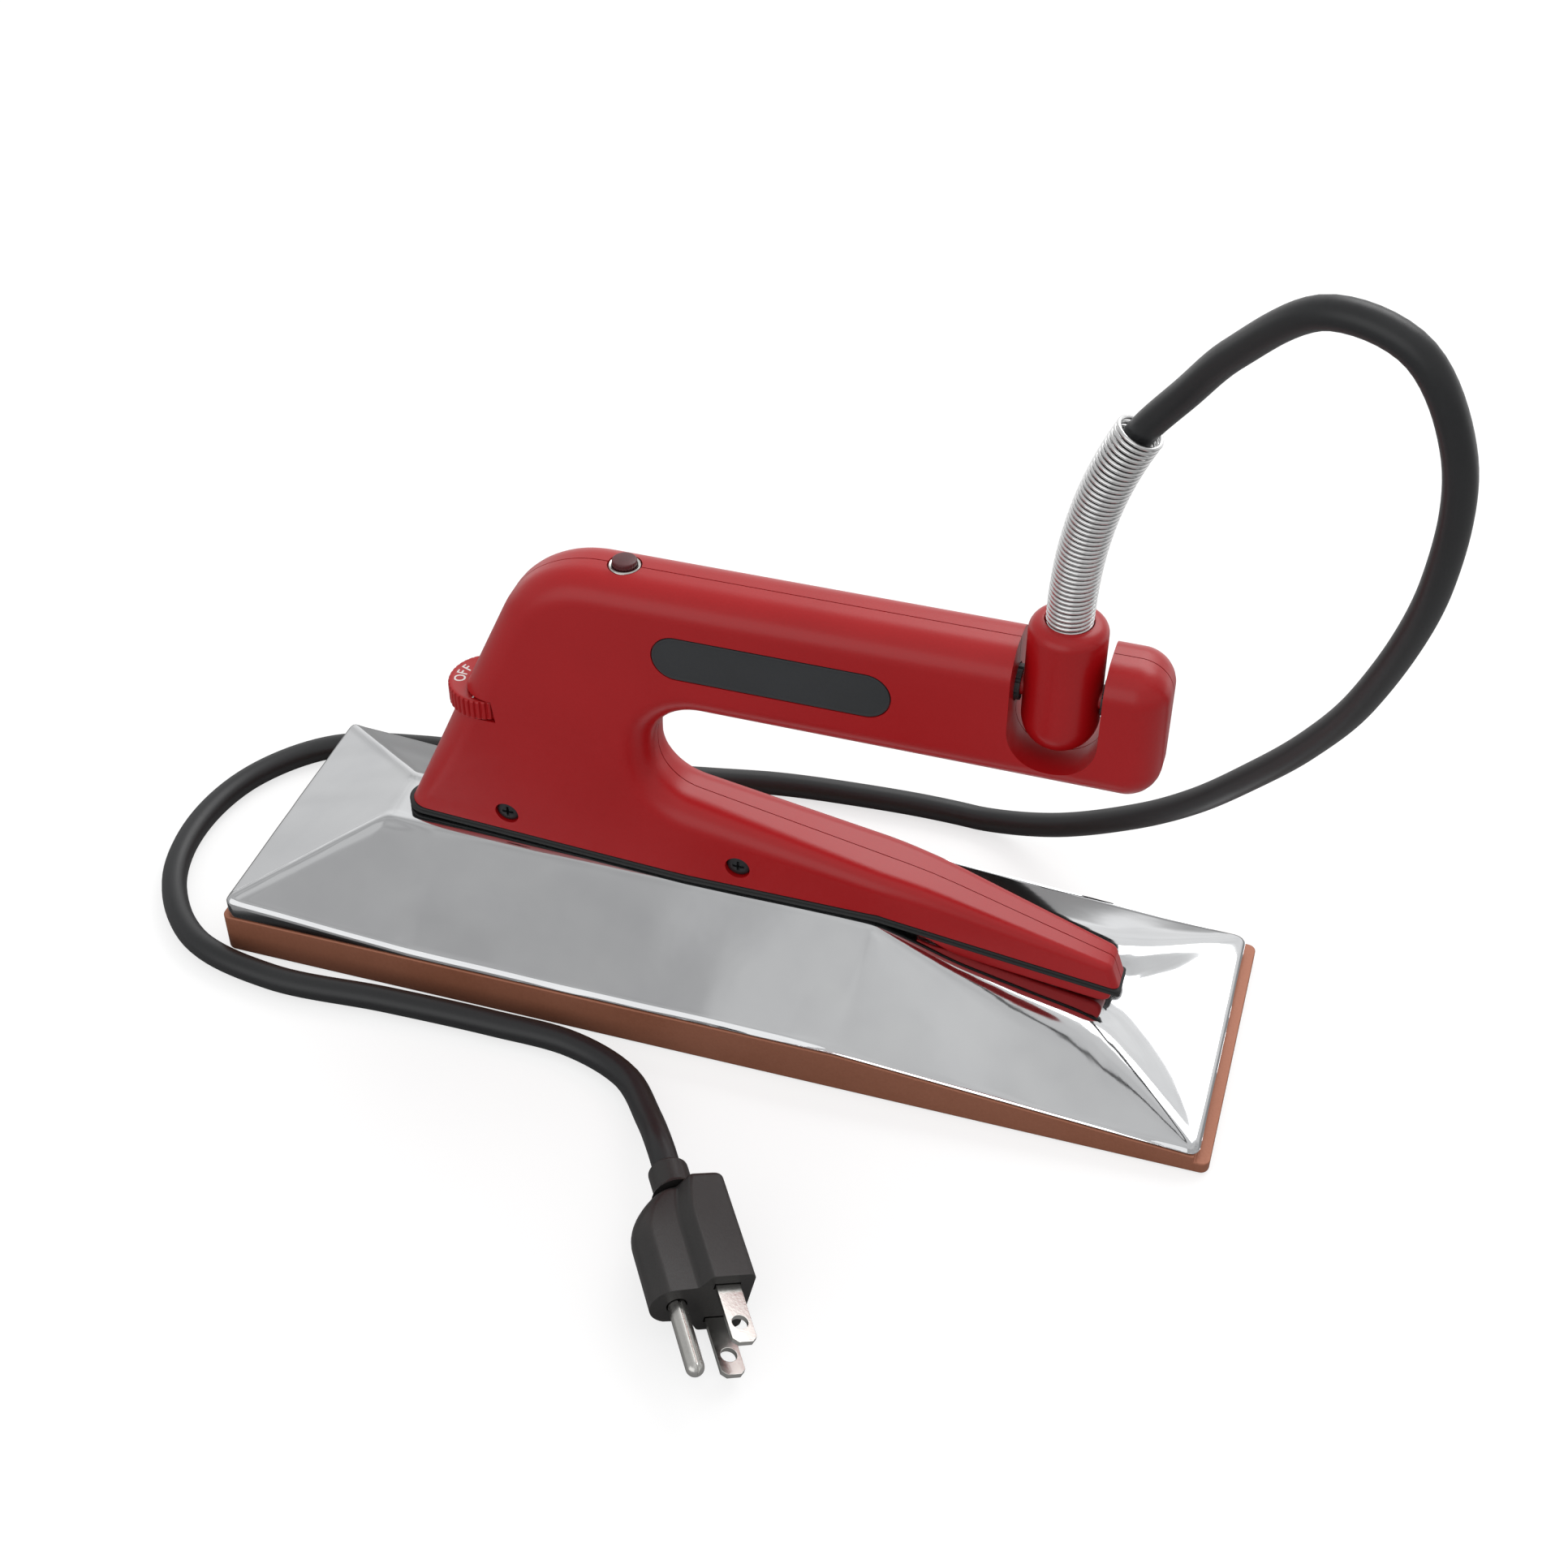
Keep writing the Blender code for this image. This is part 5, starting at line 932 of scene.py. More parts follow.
def filled_cap(outline, spacing):
    """Triangles that fill an outline, with a grid of points inside it."""
    low = Vector((min(p.x for p in outline), min(p.y for p in outline)))
    high = Vector((max(p.x for p in outline), max(p.y for p in outline)))
    grid = []
    x = low.x + spacing
    while x < high.x:
        z = low.y + spacing
        while z < high.y:
            if clear_inside(Vector((x, z)), outline, spacing / 2):
                grid.append(Vector((x, z)))
            z += spacing
        x += spacing
    points, _, faces, *_ = delaunay_2d_cdt(list(outline) + grid, [], [list(range(len(outline)))], 1, 1e-7)
    return points, faces


def handle_half(name, side, corners, radius_of, width_of, start, rings, spacing):
    """Half of the handle on one side of the seam, with its outer edge rounded all the way round."""
    outline = split_long_edges(fillet_outline(corners), OUTLINE_STEP)
    inward = inward_normals(outline)
    radii = [min(radius_of(p), width_of(p.x, p.y) - abs(start) - GAP) for p in outline]
    loops = [[Vector((from_nose(p.x), side * start, p.y)) for p in outline]]
    for k in range(rings + 1):
        angle = math.pi / 2 * k / rings
        loop = []
        for p, normal, radius in zip(outline, inward, radii):
            moved = p + normal * radius * (1 - math.cos(angle))
            y = width_of(moved.x, moved.y) - radius * (1 - math.sin(angle))
            loop.append(Vector((from_nose(moved.x), side * y, moved.y)))
        loops.append(loop)
    made = stacked(name, loops)
    rim = [Vector((v.x + SOLE_L / 2, v.z)) for v in loops[-1]]
    points, cap = filled_cap(rim, spacing)
    edit = bmesh.new()
    edit.from_mesh(made.data)
    edit.faces.ensure_lookup_table()
    edit.verts.ensure_lookup_table()
    count = len(outline)
    last = len(edit.verts) - count
    old = [face for face in edit.faces if len(face.verts) == count and face.verts[0].index >= last]
    bmesh.ops.delete(edit, geom=old, context="FACES_ONLY")
    edit.verts.ensure_lookup_table()
    rim_verts = [edit.verts[last + i] for i in range(count)]
    rim_verts += [edit.verts.new((from_nose(p.x), side * width_of(p.x, p.y), p.y)) for p in points[count:]]
    for face in cap:
        edit.faces.new([rim_verts[i] for i in face])
    bmesh.ops.recalc_face_normals(edit, faces=edit.faces)
    edit.to_mesh(made.data)
    edit.free()
    return made


def foot_cutter():
    """Everything below the foot line, which takes off the lower ends of the rounded edges."""
    front = from_nose(front_x(UNDERCUT_Z)) - OVERRUN
    behind = TAIL_REAR + EDGE_R
    low = UNDERCUT_Z - OVERRUN
    outline = [(front, low), (from_nose(behind), low), (from_nose(behind), foot_line(behind)),
               (from_nose(KINK), FOOT_Z), (front, FOOT_Z)]
    reach = HANDLE_HALF_W + OVERRUN
    return prism("foot_line", outline, -reach, reach, lambda u, v, y: (u, y, v))


def notch_cutter():
    """The U-shaped notch for the gland, open above and at both sides."""
    x = from_nose(GLAND_AT)
    centre = NOTCH_FLOOR_Z + NOTCH_HALF_L
    outline = [(x + NOTCH_HALF_L, GRIP_TOP_Z + OVERRUN), (x - NOTCH_HALF_L, GRIP_TOP_Z + OVERRUN)]
    outline += [(x + NOTCH_HALF_L * math.cos(a), centre + NOTCH_HALF_L * math.sin(a))
                for a in (math.pi + math.pi * k / 40 for k in range(41))]
    reach = HANDLE_HALF_W + OVERRUN
    return prism("notch", outline, -reach, reach, lambda u, v, y: (u, y, v))


def stadium(length, height, steps=24):
    """Points round a plate with half-round ends."""
    made = []
    r = height / 2
    for end in (1, -1):
        for k in range(steps + 1):
            angle = -math.pi / 2 + math.pi * k / steps
            made.append((end * (length / 2 - r + r * math.cos(angle)), end * r * math.sin(angle)))
    return made


def screw_posts():
    return [(x, z) for _, x, z in SHELL_SCREWS] + [(LABEL_AT, LABEL_Z)]


def handle_shell(finish, name, side, node_name):
    shell = handle_half(name, side, handle_corners(), edge_radius, half_width, SEAM_GAP / 2, EDGE_RINGS,
                        SIDE_GRID)
    hollow = handle_half(f"{name}_hollow", side, hollow_corners(), lambda p: edge_radius(p) - WALL,
                         inner_half_width, -OVERRUN, HOLLOW_RINGS, HOLLOW_GRID)
    reach = HANDLE_HALF_W + OVERRUN
    cut(hollow, *[rod(f"post_{i}", (from_nose(x), 0, z), POST_R, -reach, reach, "Y")
                  for i, (x, z) in enumerate(screw_posts())])
    dial_centre = (from_nose(DIAL_AT), 0, 0)
    low = DIAL_TOP_Z - DIAL_T
    tools = [
        hollow, foot_cutter(), notch_cutter(),
        rod("bush_socket", (from_nose(GLAND_AT), 0, PIVOT_Z), BUSH_R + FIT,
            -NOTCH_HALF_L - GRIP_BULKHEAD - OVERRUN, NOTCH_HALF_L + BUSH_DEPTH + GAP, "X", 48),
        rod("dial_slot", dial_centre, DIAL_R + DIAL_SLOT_R, low - DIAL_SLOT_Z, DIAL_TOP_Z + DIAL_SLOT_Z,
            sides=96),
        rod("shaft_way", dial_centre, SHAFT_R + FIT, UNDERCUT_Z, low),
        turned("lamp_hole", [(BEZEL_TUBE_R + FIT, GRIP_TOP_Z - WALL - BEZEL_R),
                             (BEZEL_TUBE_R + FIT, PILOT_SEAT_Z), (BEZEL_R + BEZEL_FIT, PILOT_SEAT_Z),
                             (BEZEL_R + BEZEL_FIT, GRIP_TOP_Z + OVERRUN)], (from_nose(PILOT_AT), 0, 0),
               sides=64),
    ]
    for i, (x, z) in enumerate(screw_posts()):
        start = -half_width(x, z)
        depth = LABEL_DEPTH if z == LABEL_Z else HEAD_RECESS
        wide = SCREW_HEAD_R + HEAD_FIT
        seat = start + depth + SCREW_HEAD_T
        profile = [(wide, start - OVERRUN), (wide, seat), (SCREW_HOLE_R, seat),
                   (SCREW_HOLE_R, start + depth + SCREW_L + GAP)]
        tools.append(turned(f"screw_hole_{i}", profile, (from_nose(x), 0, z), "Y", 48))
    if side < 0:
        outline = [(from_nose(LABEL_AT) + u, LABEL_Z + v)
                   for u, v in stadium(LABEL_L + 2 * GAP, LABEL_H + 2 * GAP)]
        tools.append(prism("label_seat", outline, -HANDLE_HALF_W - OVERRUN, -HANDLE_HALF_W + LABEL_DEPTH,
                           lambda u, v, y: (u, y, v)))
    cut(shell, *tools)
    return dress(shell, finish["red_abs"], "iron", "handle_plastic", node_name, sharp=30)


# Heat shield
def line(xs, ends):
    """Heights along the length from (places, heights), drawn on past both ends."""
    places, heights = ends
    made = np.interp(xs, places, heights)
    front = (heights[1] - heights[0]) / (places[1] - places[0])
    rear = (heights[-1] - heights[-2]) / (places[-1] - places[-2])
    return made + np.minimum(0, xs - places[0]) * front + np.maximum(0, xs - places[-1]) * rear


def pressed_height(x, y):
    """Height of the creased sheet, before its creases are rounded."""
    far = y > 0
    y = np.abs(y)
    hip_y = np.minimum(line(x, HIP_Y), SHIELD_HALF_W)
    hip = line(x, HIP)
    valley = line(x, VALLEY)
    inside = valley + (hip - valley) * np.clip(y / hip_y, 0, 1) ** 4
    shoulder = line(x, SHOULDER)
    outside = hip + (shoulder - hip) * (y - hip_y) / np.maximum(SHIELD_HALF_W - hip_y, TINY)
    waves = sum(np.sin(x / along + y / across) for along, across in WAVES)
    streaks = np.where(far, sum(np.sin(x / along + y / across) for along, across in STREAKS), 0)
    return np.where(y < hip_y, inside, outside) + RIPPLE * (waves + STREAK_SHARE * streaks)


def rounded_height(x, y):
    """Height of the sheet with its creases rounded, as a mean over a small disc."""
    total = pressed_height(x, y) * 2
    weight = 2
    radius = np.interp(x, *CREASE_R)
    for ring, share in ((0.25, 1.0), (0.5, 0.9), (0.75, 0.6), (1.0, 0.3)):
        for k in range(16):
            angle = math.tau * k / 16
            total = total + share * pressed_height(x + radius * ring * math.cos(angle),
                                                   y + radius * ring * math.sin(angle))
            weight += share
    away = (np.abs(y) - np.minimum(line(x, HIP_Y), SHIELD_HALF_W)) / FOLD_W
    front = np.clip((FOLD_END - x) / FOLD_FADE, 0, 1)
    return total / weight + FOLD_RISE * front * np.exp(-away ** 2)


def shield_outline(inset):
    """Points round the shield's plan, the same number whatever the inset."""
    half_l = (SHIELD_REAR - SHIELD_FRONT) / 2 - inset
    half_w = SHIELD_HALF_W - inset
    r = min(SHIELD_CORNER_R, half_w * 0.9)
    middle = (SHIELD_REAR + SHIELD_FRONT) / 2
    made = []
    corners = ((1, -1, -90), (1, 1, 0), (-1, 1, 90), (-1, -1, 180))
    for i, (sx, sy, start) in enumerate(corners):
        cx, cy = sx * (half_l - r), sy * (half_w - r)
        made += [(middle + cx + r * math.cos(a), cy + r * math.sin(a))
                 for a in (math.radians(start + 90 * k / 6) for k in range(7))]
        nx, ny, angle = corners[(i + 1) % 4]
        ax, ay = made[-1]
        bx = middle + nx * (half_l - r) + r * math.cos(math.radians(angle))
        by = ny * (half_w - r) + r * math.sin(math.radians(angle))
        steps = 70 if i % 2 == 0 else 210
        made += [(mix(ax, bx, k / steps), mix(ay, by, k / steps)) for k in range(1, steps)]
    return made


def sole_top(x):
    """Height of the surface that the shield's skirt stands on."""
    rear = SOLE_L - LEDGE_L
    share = min(1, max(0, (x - SOLE_TAPER_START) / (rear - SOLE_TAPER_START)))
    return mix(SOLE_T, SOLE_REAR_T, share)


def heat_shield(finish):
    r = SHIELD_EDGE_R
    insets = [r * (1 - math.cos(math.pi / 2 * k / 6)) for k in range(7)]
    at = r + SHIELD_RING_START
    while at < SHIELD_HALF_W - SHIELD_RING_END:
        insets.append(at)
        at += SHIELD_RING_STEP
    loops = []
    edge = np.array(shield_outline(0))
    loops.append([Vector((from_nose(x), y, sole_top(x) + GAP)) for x, y in edge])
    for inset in insets:
        plan = np.array(shield_outline(inset))
        height = rounded_height(plan[:, 0], plan[:, 1])
        drop = r - math.sqrt(r * r - max(0, r - inset) ** 2)
        loops.append([Vector((from_nose(x), y, max(z - drop, sole_top(x) + SKIRT_LIFT - inset * SKIRT_FALL)))
                      for (x, y), z in zip(plan, height)])
    made = stacked("pressed_shield", loops)
    edit = bmesh.new()
    edit.from_mesh(made.data)
    lowest = [face for face in edit.faces if len(face.verts) == len(edge) and face.verts[0].co.z < SKIRT_Z]
    bmesh.ops.delete(edit, geom=lowest, context="FACES_ONLY")
    edit.to_mesh(made.data)
    edit.free()
    thicken = made.modifiers.new("sheet", "SOLIDIFY")
    thicken.thickness = SHEET_T
    thicken.offset = -1
    settle(made)
    # an odd number of sides keeps the bores' corners off the sheet's own grid, where a cut would fail
    cut(made, *[rod(f"ridge_bore_{i}", (from_nose(x), y, 0), bore, *SHIELD_CUT_Z, sides=31)
                for i, (x, y, bore) in enumerate(RIDGE_BORES)])
    return dress(made, finish["chrome"], "iron", "chromed_sheet", "heat_shield", sharp=50)


# Sole plate
def rounded_plan(inset, radius):
    half_l, half_w = SOLE_L / 2 - inset, SOLE_W / 2 - inset
    r = max(TINY, radius - inset)
    made = []
    for sx, sy, start in ((1, -1, -90), (1, 1, 0), (-1, 1, 90), (-1, -1, 180)):
        made += [(sx * (half_l - r) + r * math.cos(a), sy * (half_w - r) + r * math.sin(a))
                 for a in (math.radians(start + 90 * k / 8) for k in range(9))]
    return made


def sole_plate(finish):
    rows = [(inset, drop) for inset, drop in reversed(arc_rows(SOLE_EDGE_R, 5))]
    loops = [[Vector((x, y, drop)) for x, y in rounded_plan(inset, SOLE_CORNER_R)] for inset, drop in rows]
    loops.append([Vector((x, y, SOLE_T)) for x, y in rounded_plan(0, SOLE_CORNER_R)])
    made = stacked("sole_casting", loops)
    ledge = SOLE_L - LEDGE_L
    over = SOLE_T + OVERRUN
    start, step, end = from_nose(SOLE_TAPER_START), from_nose(ledge), SOLE_L / 2 + OVERRUN
    taper = [(start, SOLE_T), (step, SOLE_REAR_T), (step, LEDGE_T), (end, LEDGE_T), (end, over), (start, over)]
    tools = [prism("taper", taper, -SOLE_W, SOLE_W, lambda u, v, y: (u, y, v))]
    for pair in range(GROOVE_PAIRS):
        for side in (-1, 1):
            middle = side * (pair + 0.5) * GROOVE_PITCH
            tools.append(box(f"groove_{pair}_{side}", (from_nose(GROOVE_END), middle - GROOVE_W / 2, -OVERRUN),
                             (from_nose(SOLE_L - GROOVE_END), middle + GROOVE_W / 2, GROOVE_D)))
    tools += [rod(f"bore_{x}", (from_nose(x), 0, 0), r, SOLE_T - depth, over) for x, r, depth in SOLE_BORES]
    cut(made, *tools)
    soften(made, SOLE_TOP_EDGE_R, segments=3, angle=50)
    return dress(made, finish["sole"], "iron", "sole_coating", "sole_plate", sharp=40)


# Gasket and tail cover
def foot_loop(front, rear, nose_r, corner_r):
    """Plan of the handle's foot, with a round nose and small rear corners, and its inward normals."""
    xs = [front + nose_r * (1 - math.cos(math.pi / 2 * (k + 0.5) / 14)) for k in range(14)]
    xs += [mix(front + nose_r, KINK, k / 44) for k in range(45)]
    xs += [mix(KINK, rear - corner_r, k / 26) for k in range(1, 27)]
    xs += [rear - corner_r * (1 - math.sin(math.pi / 2 * k / 4)) for k in range(1, 5)]
    made = []
    for x in xs:
        into = max(0, nose_r - (x - front))
        past = max(0, corner_r - (rear - x))
        y = half_width(x, FOOT_Z) - nose_r + math.sqrt(nose_r ** 2 - into ** 2)
        made.append((x, y - corner_r + math.sqrt(corner_r ** 2 - past ** 2)))
    loop = [Vector((x, -y)) for x, y in made] + [Vector((x, y)) for x, y in reversed(made)]
    return loop, inward_normals(loop)


def gasket(finish):
    loop, inward = foot_loop(GASKET_NOSE, GASKET_REAR, GASKET_NOSE_R, GASKET_CORNER_R)
    loops = []
    for height, proud in GASKET_RIBS:
        level = GASKET_T * height / GASKET_RIBS[-1][0]
        loops.append([Vector((from_nose(p.x), p.y, foot_line(p.x) - GAP - GASKET_T + level))
                      for p in (p - n * proud * 0.001 for p, n in zip(loop, inward))])
    made = stacked("ribbed_gasket", loops, halves=True)
    cut(made, *[rod(f"gasket_bore_{i}", (from_nose(x), y, 0), bore, *GASKET_CUT_Z)
                for i, (x, y, bore) in enumerate(RIDGE_BORES)])
    return dress(made, finish["rubber"], "iron", "gasket", "base_gasket", sharp=50)


def cover_depth(x):
    """The cover is thin at its front end, soon reaches its full depth and has a round rear end."""
    share = min(1, max(0, (x - COVER_START) / (COVER_FULL - COVER_START)))
    share = share * share * (3 - 2 * share)
    past = max(0, x - COVER_REAR + COVER_T) / COVER_T
    full = mix(COVER_FRONT_T, COVER_T, math.sqrt(1 - min(1, past) ** 2))
    return mix(COVER_FRONT_T, full, share)


def tail_cover(finish):
    xs = [mix(COVER_START, COVER_REAR - COVER_T, k / 30) for k in range(31)]
    xs += [COVER_REAR - COVER_T * (1 - math.sin(math.pi / 2 * k / 12)) for k in range(1, 13)]
    loops = []
    for inset, drop in [(0, None)] + arc_rows(COVER_EDGE_R, 6):
        row = []
        for x in xs:
            depth = cover_depth(x)
            small = min(1, depth / COVER_EDGE_R * 0.7)
            y = half_width(x, FOOT_Z) - COVER_INSET - inset * small
            z = 0 if drop is None else depth - COVER_EDGE_R * small + (COVER_EDGE_R - drop) * small
            row.append((from_nose(x), y, foot_line(x) - 2 * GAP - GASKET_T - z))
        loops.append([Vector((x, -y, z)) for x, y, z in row] + [Vector(p) for p in reversed(row)])
    made = stacked("tail_cover_moulding", loops, halves=True)
    return dress(made, finish["red_abs"], "iron", "handle_plastic", "tail_cover", sharp=45)


# Dial
def dial_wheel(finish):
    sides = DIAL_KNURLS * 12
    low, high = DIAL_TOP_Z - DIAL_T, DIAL_TOP_Z
    profile = [(DIAL_R - inset, low + rise) for inset, rise in DIAL_LOWER_RIM]
    profile += [(DIAL_R - inset, high - DIAL_EDGE_R + (DIAL_EDGE_R - drop)) for inset, drop in
                arc_rows(DIAL_EDGE_R, 5)]
    profile += [(DIAL_R - DIAL_RIM_W, high), (DIAL_R - DIAL_DISH_INSET, high - DIAL_DISH_D),
                (DIAL_R * DIAL_CENTRE_SHARE, high - DIAL_DISH_D)]

    def knurled(radius, _, angle):
        turn = angle / math.tau * DIAL_KNURLS % 1
        flute = KNURL_D * math.sin(math.pi * min(1, max(0, (turn - 0.5) / 0.5)))
        return min(radius, DIAL_R - flute)

    made = turned("dial_wheel", profile, (from_nose(DIAL_AT), 0, 0), sides=sides, ripple=knurled)
    cut(made, rod("dial_bore", (from_nose(DIAL_AT), 0, 0), SHAFT_R + GAP, low - OVERRUN, low + DIAL_T / 2))
    return dress(made, finish["red_abs"], "dial", "dial_plastic", "thermostat_dial", sharp=40)


def letter(text, turn):
    """One printed character on the dial's top, with its head to the rim, turned from the nose direction."""
    curve = bpy.data.curves.new(f"print_{text}", "FONT")
    curve.body = text
    curve.size = PRINT_H * FONT_OVER_CAPITAL
    curve.align_x = "CENTER"
    curve.extrude = PRINT_T / 2
    curve.offset = PRINT_BOLD
    made = bpy.data.objects.new(curve.name, curve)
    bpy.context.scene.collection.objects.link(made)
    angle = math.pi + math.radians(turn)
    place = Matrix.Translation((from_nose(DIAL_AT), 0, DIAL_TOP_Z - PRINT_DROP))
    place @= Matrix.Rotation(angle, 4, "Z") @ Matrix.Translation((PRINT_R - PRINT_H / 2, 0, 0))
    made.matrix_world = place @ Matrix.Rotation(-math.pi / 2, 4, "Z") @ Matrix.Diagonal((PRINT_NARROW, 1, 1, 1))
    return made


def dial_print(finish):
    """OFF by the thumb side and heat settings 1 to 5 round the rest of the travel, pad printed in white."""
    made = []
    for text, turn in DIAL_MARKS:
        font = letter(text, turn)
        graph = bpy.context.evaluated_depsgraph_get()
        mesh = bpy.data.meshes.new_from_object(font.evaluated_get(graph), depsgraph=graph)
        mesh.transform(font.matrix_world)
        made.append(mesh)
        bpy.data.objects.remove(font, do_unlink=True)
    edit = bmesh.new()
    for mesh in made:
        edit.from_mesh(mesh)
    joined = bpy.data.meshes.new("dial_print")
    edit.to_mesh(joined)
    edit.free()
    print_layer = bpy.data.objects.new("dial_print", joined)
    bpy.context.scene.collection.objects.link(print_layer)
    return dress(print_layer, finish["ink"], "dial", "dial_plastic")


# Pilot lamp
def pilot(finish):
    centre = (from_nose(PILOT_AT), 0, 0)
    seat = PILOT_SEAT_Z + GAP
    low = seat - BEZEL_TUBE_L
    lip_w, lip_rise = BEZEL_INNER_LIP
    ring = [(BEZEL_TUBE_R, low), (BEZEL_TUBE_R, seat), (BEZEL_R, seat)]
    ring += [(BEZEL_R - inset, seat + rise) for inset, rise in BEZEL_OUTER_LIP]
    ring += [(BEZEL_BORE_R + lip_w, seat + lip_rise), (LENS_R + GAP, seat + BEZEL_INNER_RISE),
             (LENS_R + GAP, low)]
    bezel = turned("pilot_ring", ring, centre, closed=True)
    dress(bezel, finish["nickel"], "iron", "chromed_sheet", "pilot_bezel")
    top = seat + CAP_TOP

    def ribbed(radius, height, angle):
        return radius - (LENS_RIB_D if height < top - CAP_EDGE_R and math.sin(angle * LENS_RIBS) > 0 else 0)

    profile = [(LENS_R - inset, seat + rise) for inset, rise in LENS_FOOT]
    profile += [(CAP_R, seat + CAP_LOW), (CAP_R, top - CAP_SHOULDER)]
    profile += [(CAP_R - inset, top - drop) for inset, drop in arc_rows(CAP_EDGE_R, 5)[1:]]
    profile += [(LENS_R * share, top + CAP_DOME * (1 - share * share)) for share in (0.7, 0.5, 0.3, 0.1)]
    lens = turned("pilot_lens_cap", profile, centre, sides=144, ripple=ribbed)
    dress(lens, finish["lens"], "iron", "lamp_lens", "pilot_lens", sharp=50)


# Fasteners and label
def phillips_screw(finish, name, x, z, node_name):
    """A pan-head screw along +Y, with a tapered cross recess in its head."""
    start = -half_width(x, z) + HEAD_RECESS
    head = start + SCREW_HEAD_T - GAP
    dome = [(SCREW_HEAD_R * math.sin(a), start + SCREW_DOME * (1 - math.cos(a)) ** 0.8)
            for a in (math.pi / 2 * k / 8 for k in range(1, 9))]
    profile = [(POLE_R, start)] + dome + [(SCREW_HEAD_R, head), (SCREW_R, head), (SCREW_R, start + SCREW_L)]
    made = turned(name, profile, (from_nose(x), 0, z), "Y")
    tools = []
    for turn in (0, 1):
        wide, tall = (CROSS_L, CROSS_W) if turn else (CROSS_W, CROSS_L)
        outline = [(-1, -1), (1, -1), (1, 1), (-1, 1)]

        def cross(u, v, y, wide=wide, tall=tall):
            shrink = 1 - CROSS_TAPER_SHARE * max(0, y - start) / CROSS_D
            return from_nose(x) + u * wide * shrink, y, z + v * tall * shrink

        tools.append(prism(f"{name}_cross_{turn}", outline, start - CROSS_RISE, start + CROSS_D, cross))
    cut(made, *tools)
    return dress(made, finish["black_steel"], "iron", "black_plastic", node_name, sharp=45)


def label(finish):
    """The black plate in the grip's side, bare, with a fine rim."""
    low = -HANDLE_HALF_W + LABEL_DEPTH - GAP - LABEL_T
    loops = [[Vector((from_nose(LABEL_AT) + u, low + depth, LABEL_Z + v))
              for u, v in stadium(LABEL_L - 2 * inset, LABEL_H - 2 * inset)] for inset, depth in LABEL_RIM]
    made = stacked("bare_label_plate", loops)
    return dress(made, finish["black_abs"], "iron", "black_plastic", "label_plate", sharp=40)


# Swivel gland
def gland(finish):
    centre = (from_nose(GLAND_AT), 0, 0)
    profile = [(POLE_R, GLAND_BALL_Z - GLAND_R)]
    profile += [(GLAND_R * math.sin(a), GLAND_BALL_Z - GLAND_R * math.cos(a))
                for a in (math.pi / 2 * k / 16 for k in range(1, 17))]
    profile += [(GLAND_R, mix(GLAND_BALL_Z, GLAND_TOP_Z - GLAND_TOP_R, k / 3)) for k in (1, 2)]
    profile += [(GLAND_R - inset, GLAND_TOP_Z - drop) for inset, drop in arc_rows(GLAND_TOP_R, 9)]
    profile += [(radius, GLAND_TOP_Z - depth) for radius, depth in GLAND_MOUTH]
    profile += [(SPRING_BORE_R, SPRING_SEAT_Z), (CORD_BORE_R, SPRING_SEAT_Z), (CORD_BORE_R, CORD_END_Z - GAP),
                (POLE_R, CORD_END_Z - GAP)]
    barrel = turned("gland_body", profile, centre, sides=96)
    pivot = (from_nose(GLAND_AT), 0, PIVOT_Z)
    reach = NOTCH_HALF_L + BUSH_DEPTH - GAP
    near = CORD_BORE_R + GLAND_CORE_WALL
    stubs = []
    for i, side in enumerate((-1, 1)):
        low, high = sorted((side * near, side * reach))
        stubs.append(rod(f"stub_{i}", pivot, STUB_R, low, high, "X", 40))
    combine(barrel, "UNION", stubs)
    cut(barrel, rod("lead_bore", pivot, STUB_BORE_R, -reach - OVERRUN, 0, "X", 40))
    dress(barrel, finish["red_abs"], "cord_gland", "handle_plastic", "gland_barrel", sharp=35)

    def ribbed(radius, _, angle):
        turn = angle / math.tau * BUSH_RIBS % 1
        groove = radius > BUSH_BORE_R + BUSH_RIB_D and turn < BUSH_RIB_SHARE
        return radius - (BUSH_RIB_D if groove else 0)

    for name, side in (("gland_bush_front", -1), ("gland_bush_rear", 1)):
        low, high = sorted((side * (GLAND_R + GAP), side * (NOTCH_HALF_L + BUSH_DEPTH)))
        tube = [(BUSH_R, low), (BUSH_R, high), (BUSH_BORE_R, high), (BUSH_BORE_R, low)]
        bush = turned(f"ribbed_{name}", tube, pivot, "X", 128, closed=True, ripple=ribbed)
        dress(bush, finish["black_abs"], "iron", "black_plastic", name, sharp=30)


def spring(finish):
    """The strain relief: one unbroken close coil of drawn wire round the cord."""
    per_turn = 28
    count = SPRING_TURNS * per_turn
    points = []
    for k in range(count + 1):
        share = k / count
        ahead = (spring_axis(min(1, share + 0.001)) - spring_axis(max(0, share - 0.001))).normalized()
        side = Vector((0, 1, 0))
        up = ahead.cross(side).normalized()
        angle = math.tau * k / per_turn
        points.append(spring_axis(share) + (side * math.cos(angle) + up * math.sin(angle)) * SPRING_R)
    curve = bpy.data.curves.new("spring_coil", "CURVE")
    curve.dimensions = "3D"
    curve.bevel_depth = SPRING_WIRE_R
    curve.bevel_resolution = 3
    curve.use_fill_caps = True
    spline = curve.splines.new("POLY")
    spline.points.add(len(points) - 1)
    for slot, point in zip(spline.points, points):
        slot.co = (*point, 1)
    made = bpy.data.objects.new("spring_coil", curve)
    bpy.context.scene.collection.objects.link(made)
    return dress(made, finish["wire"], "cord_gland", "plated_steel", "strain_relief_spring")


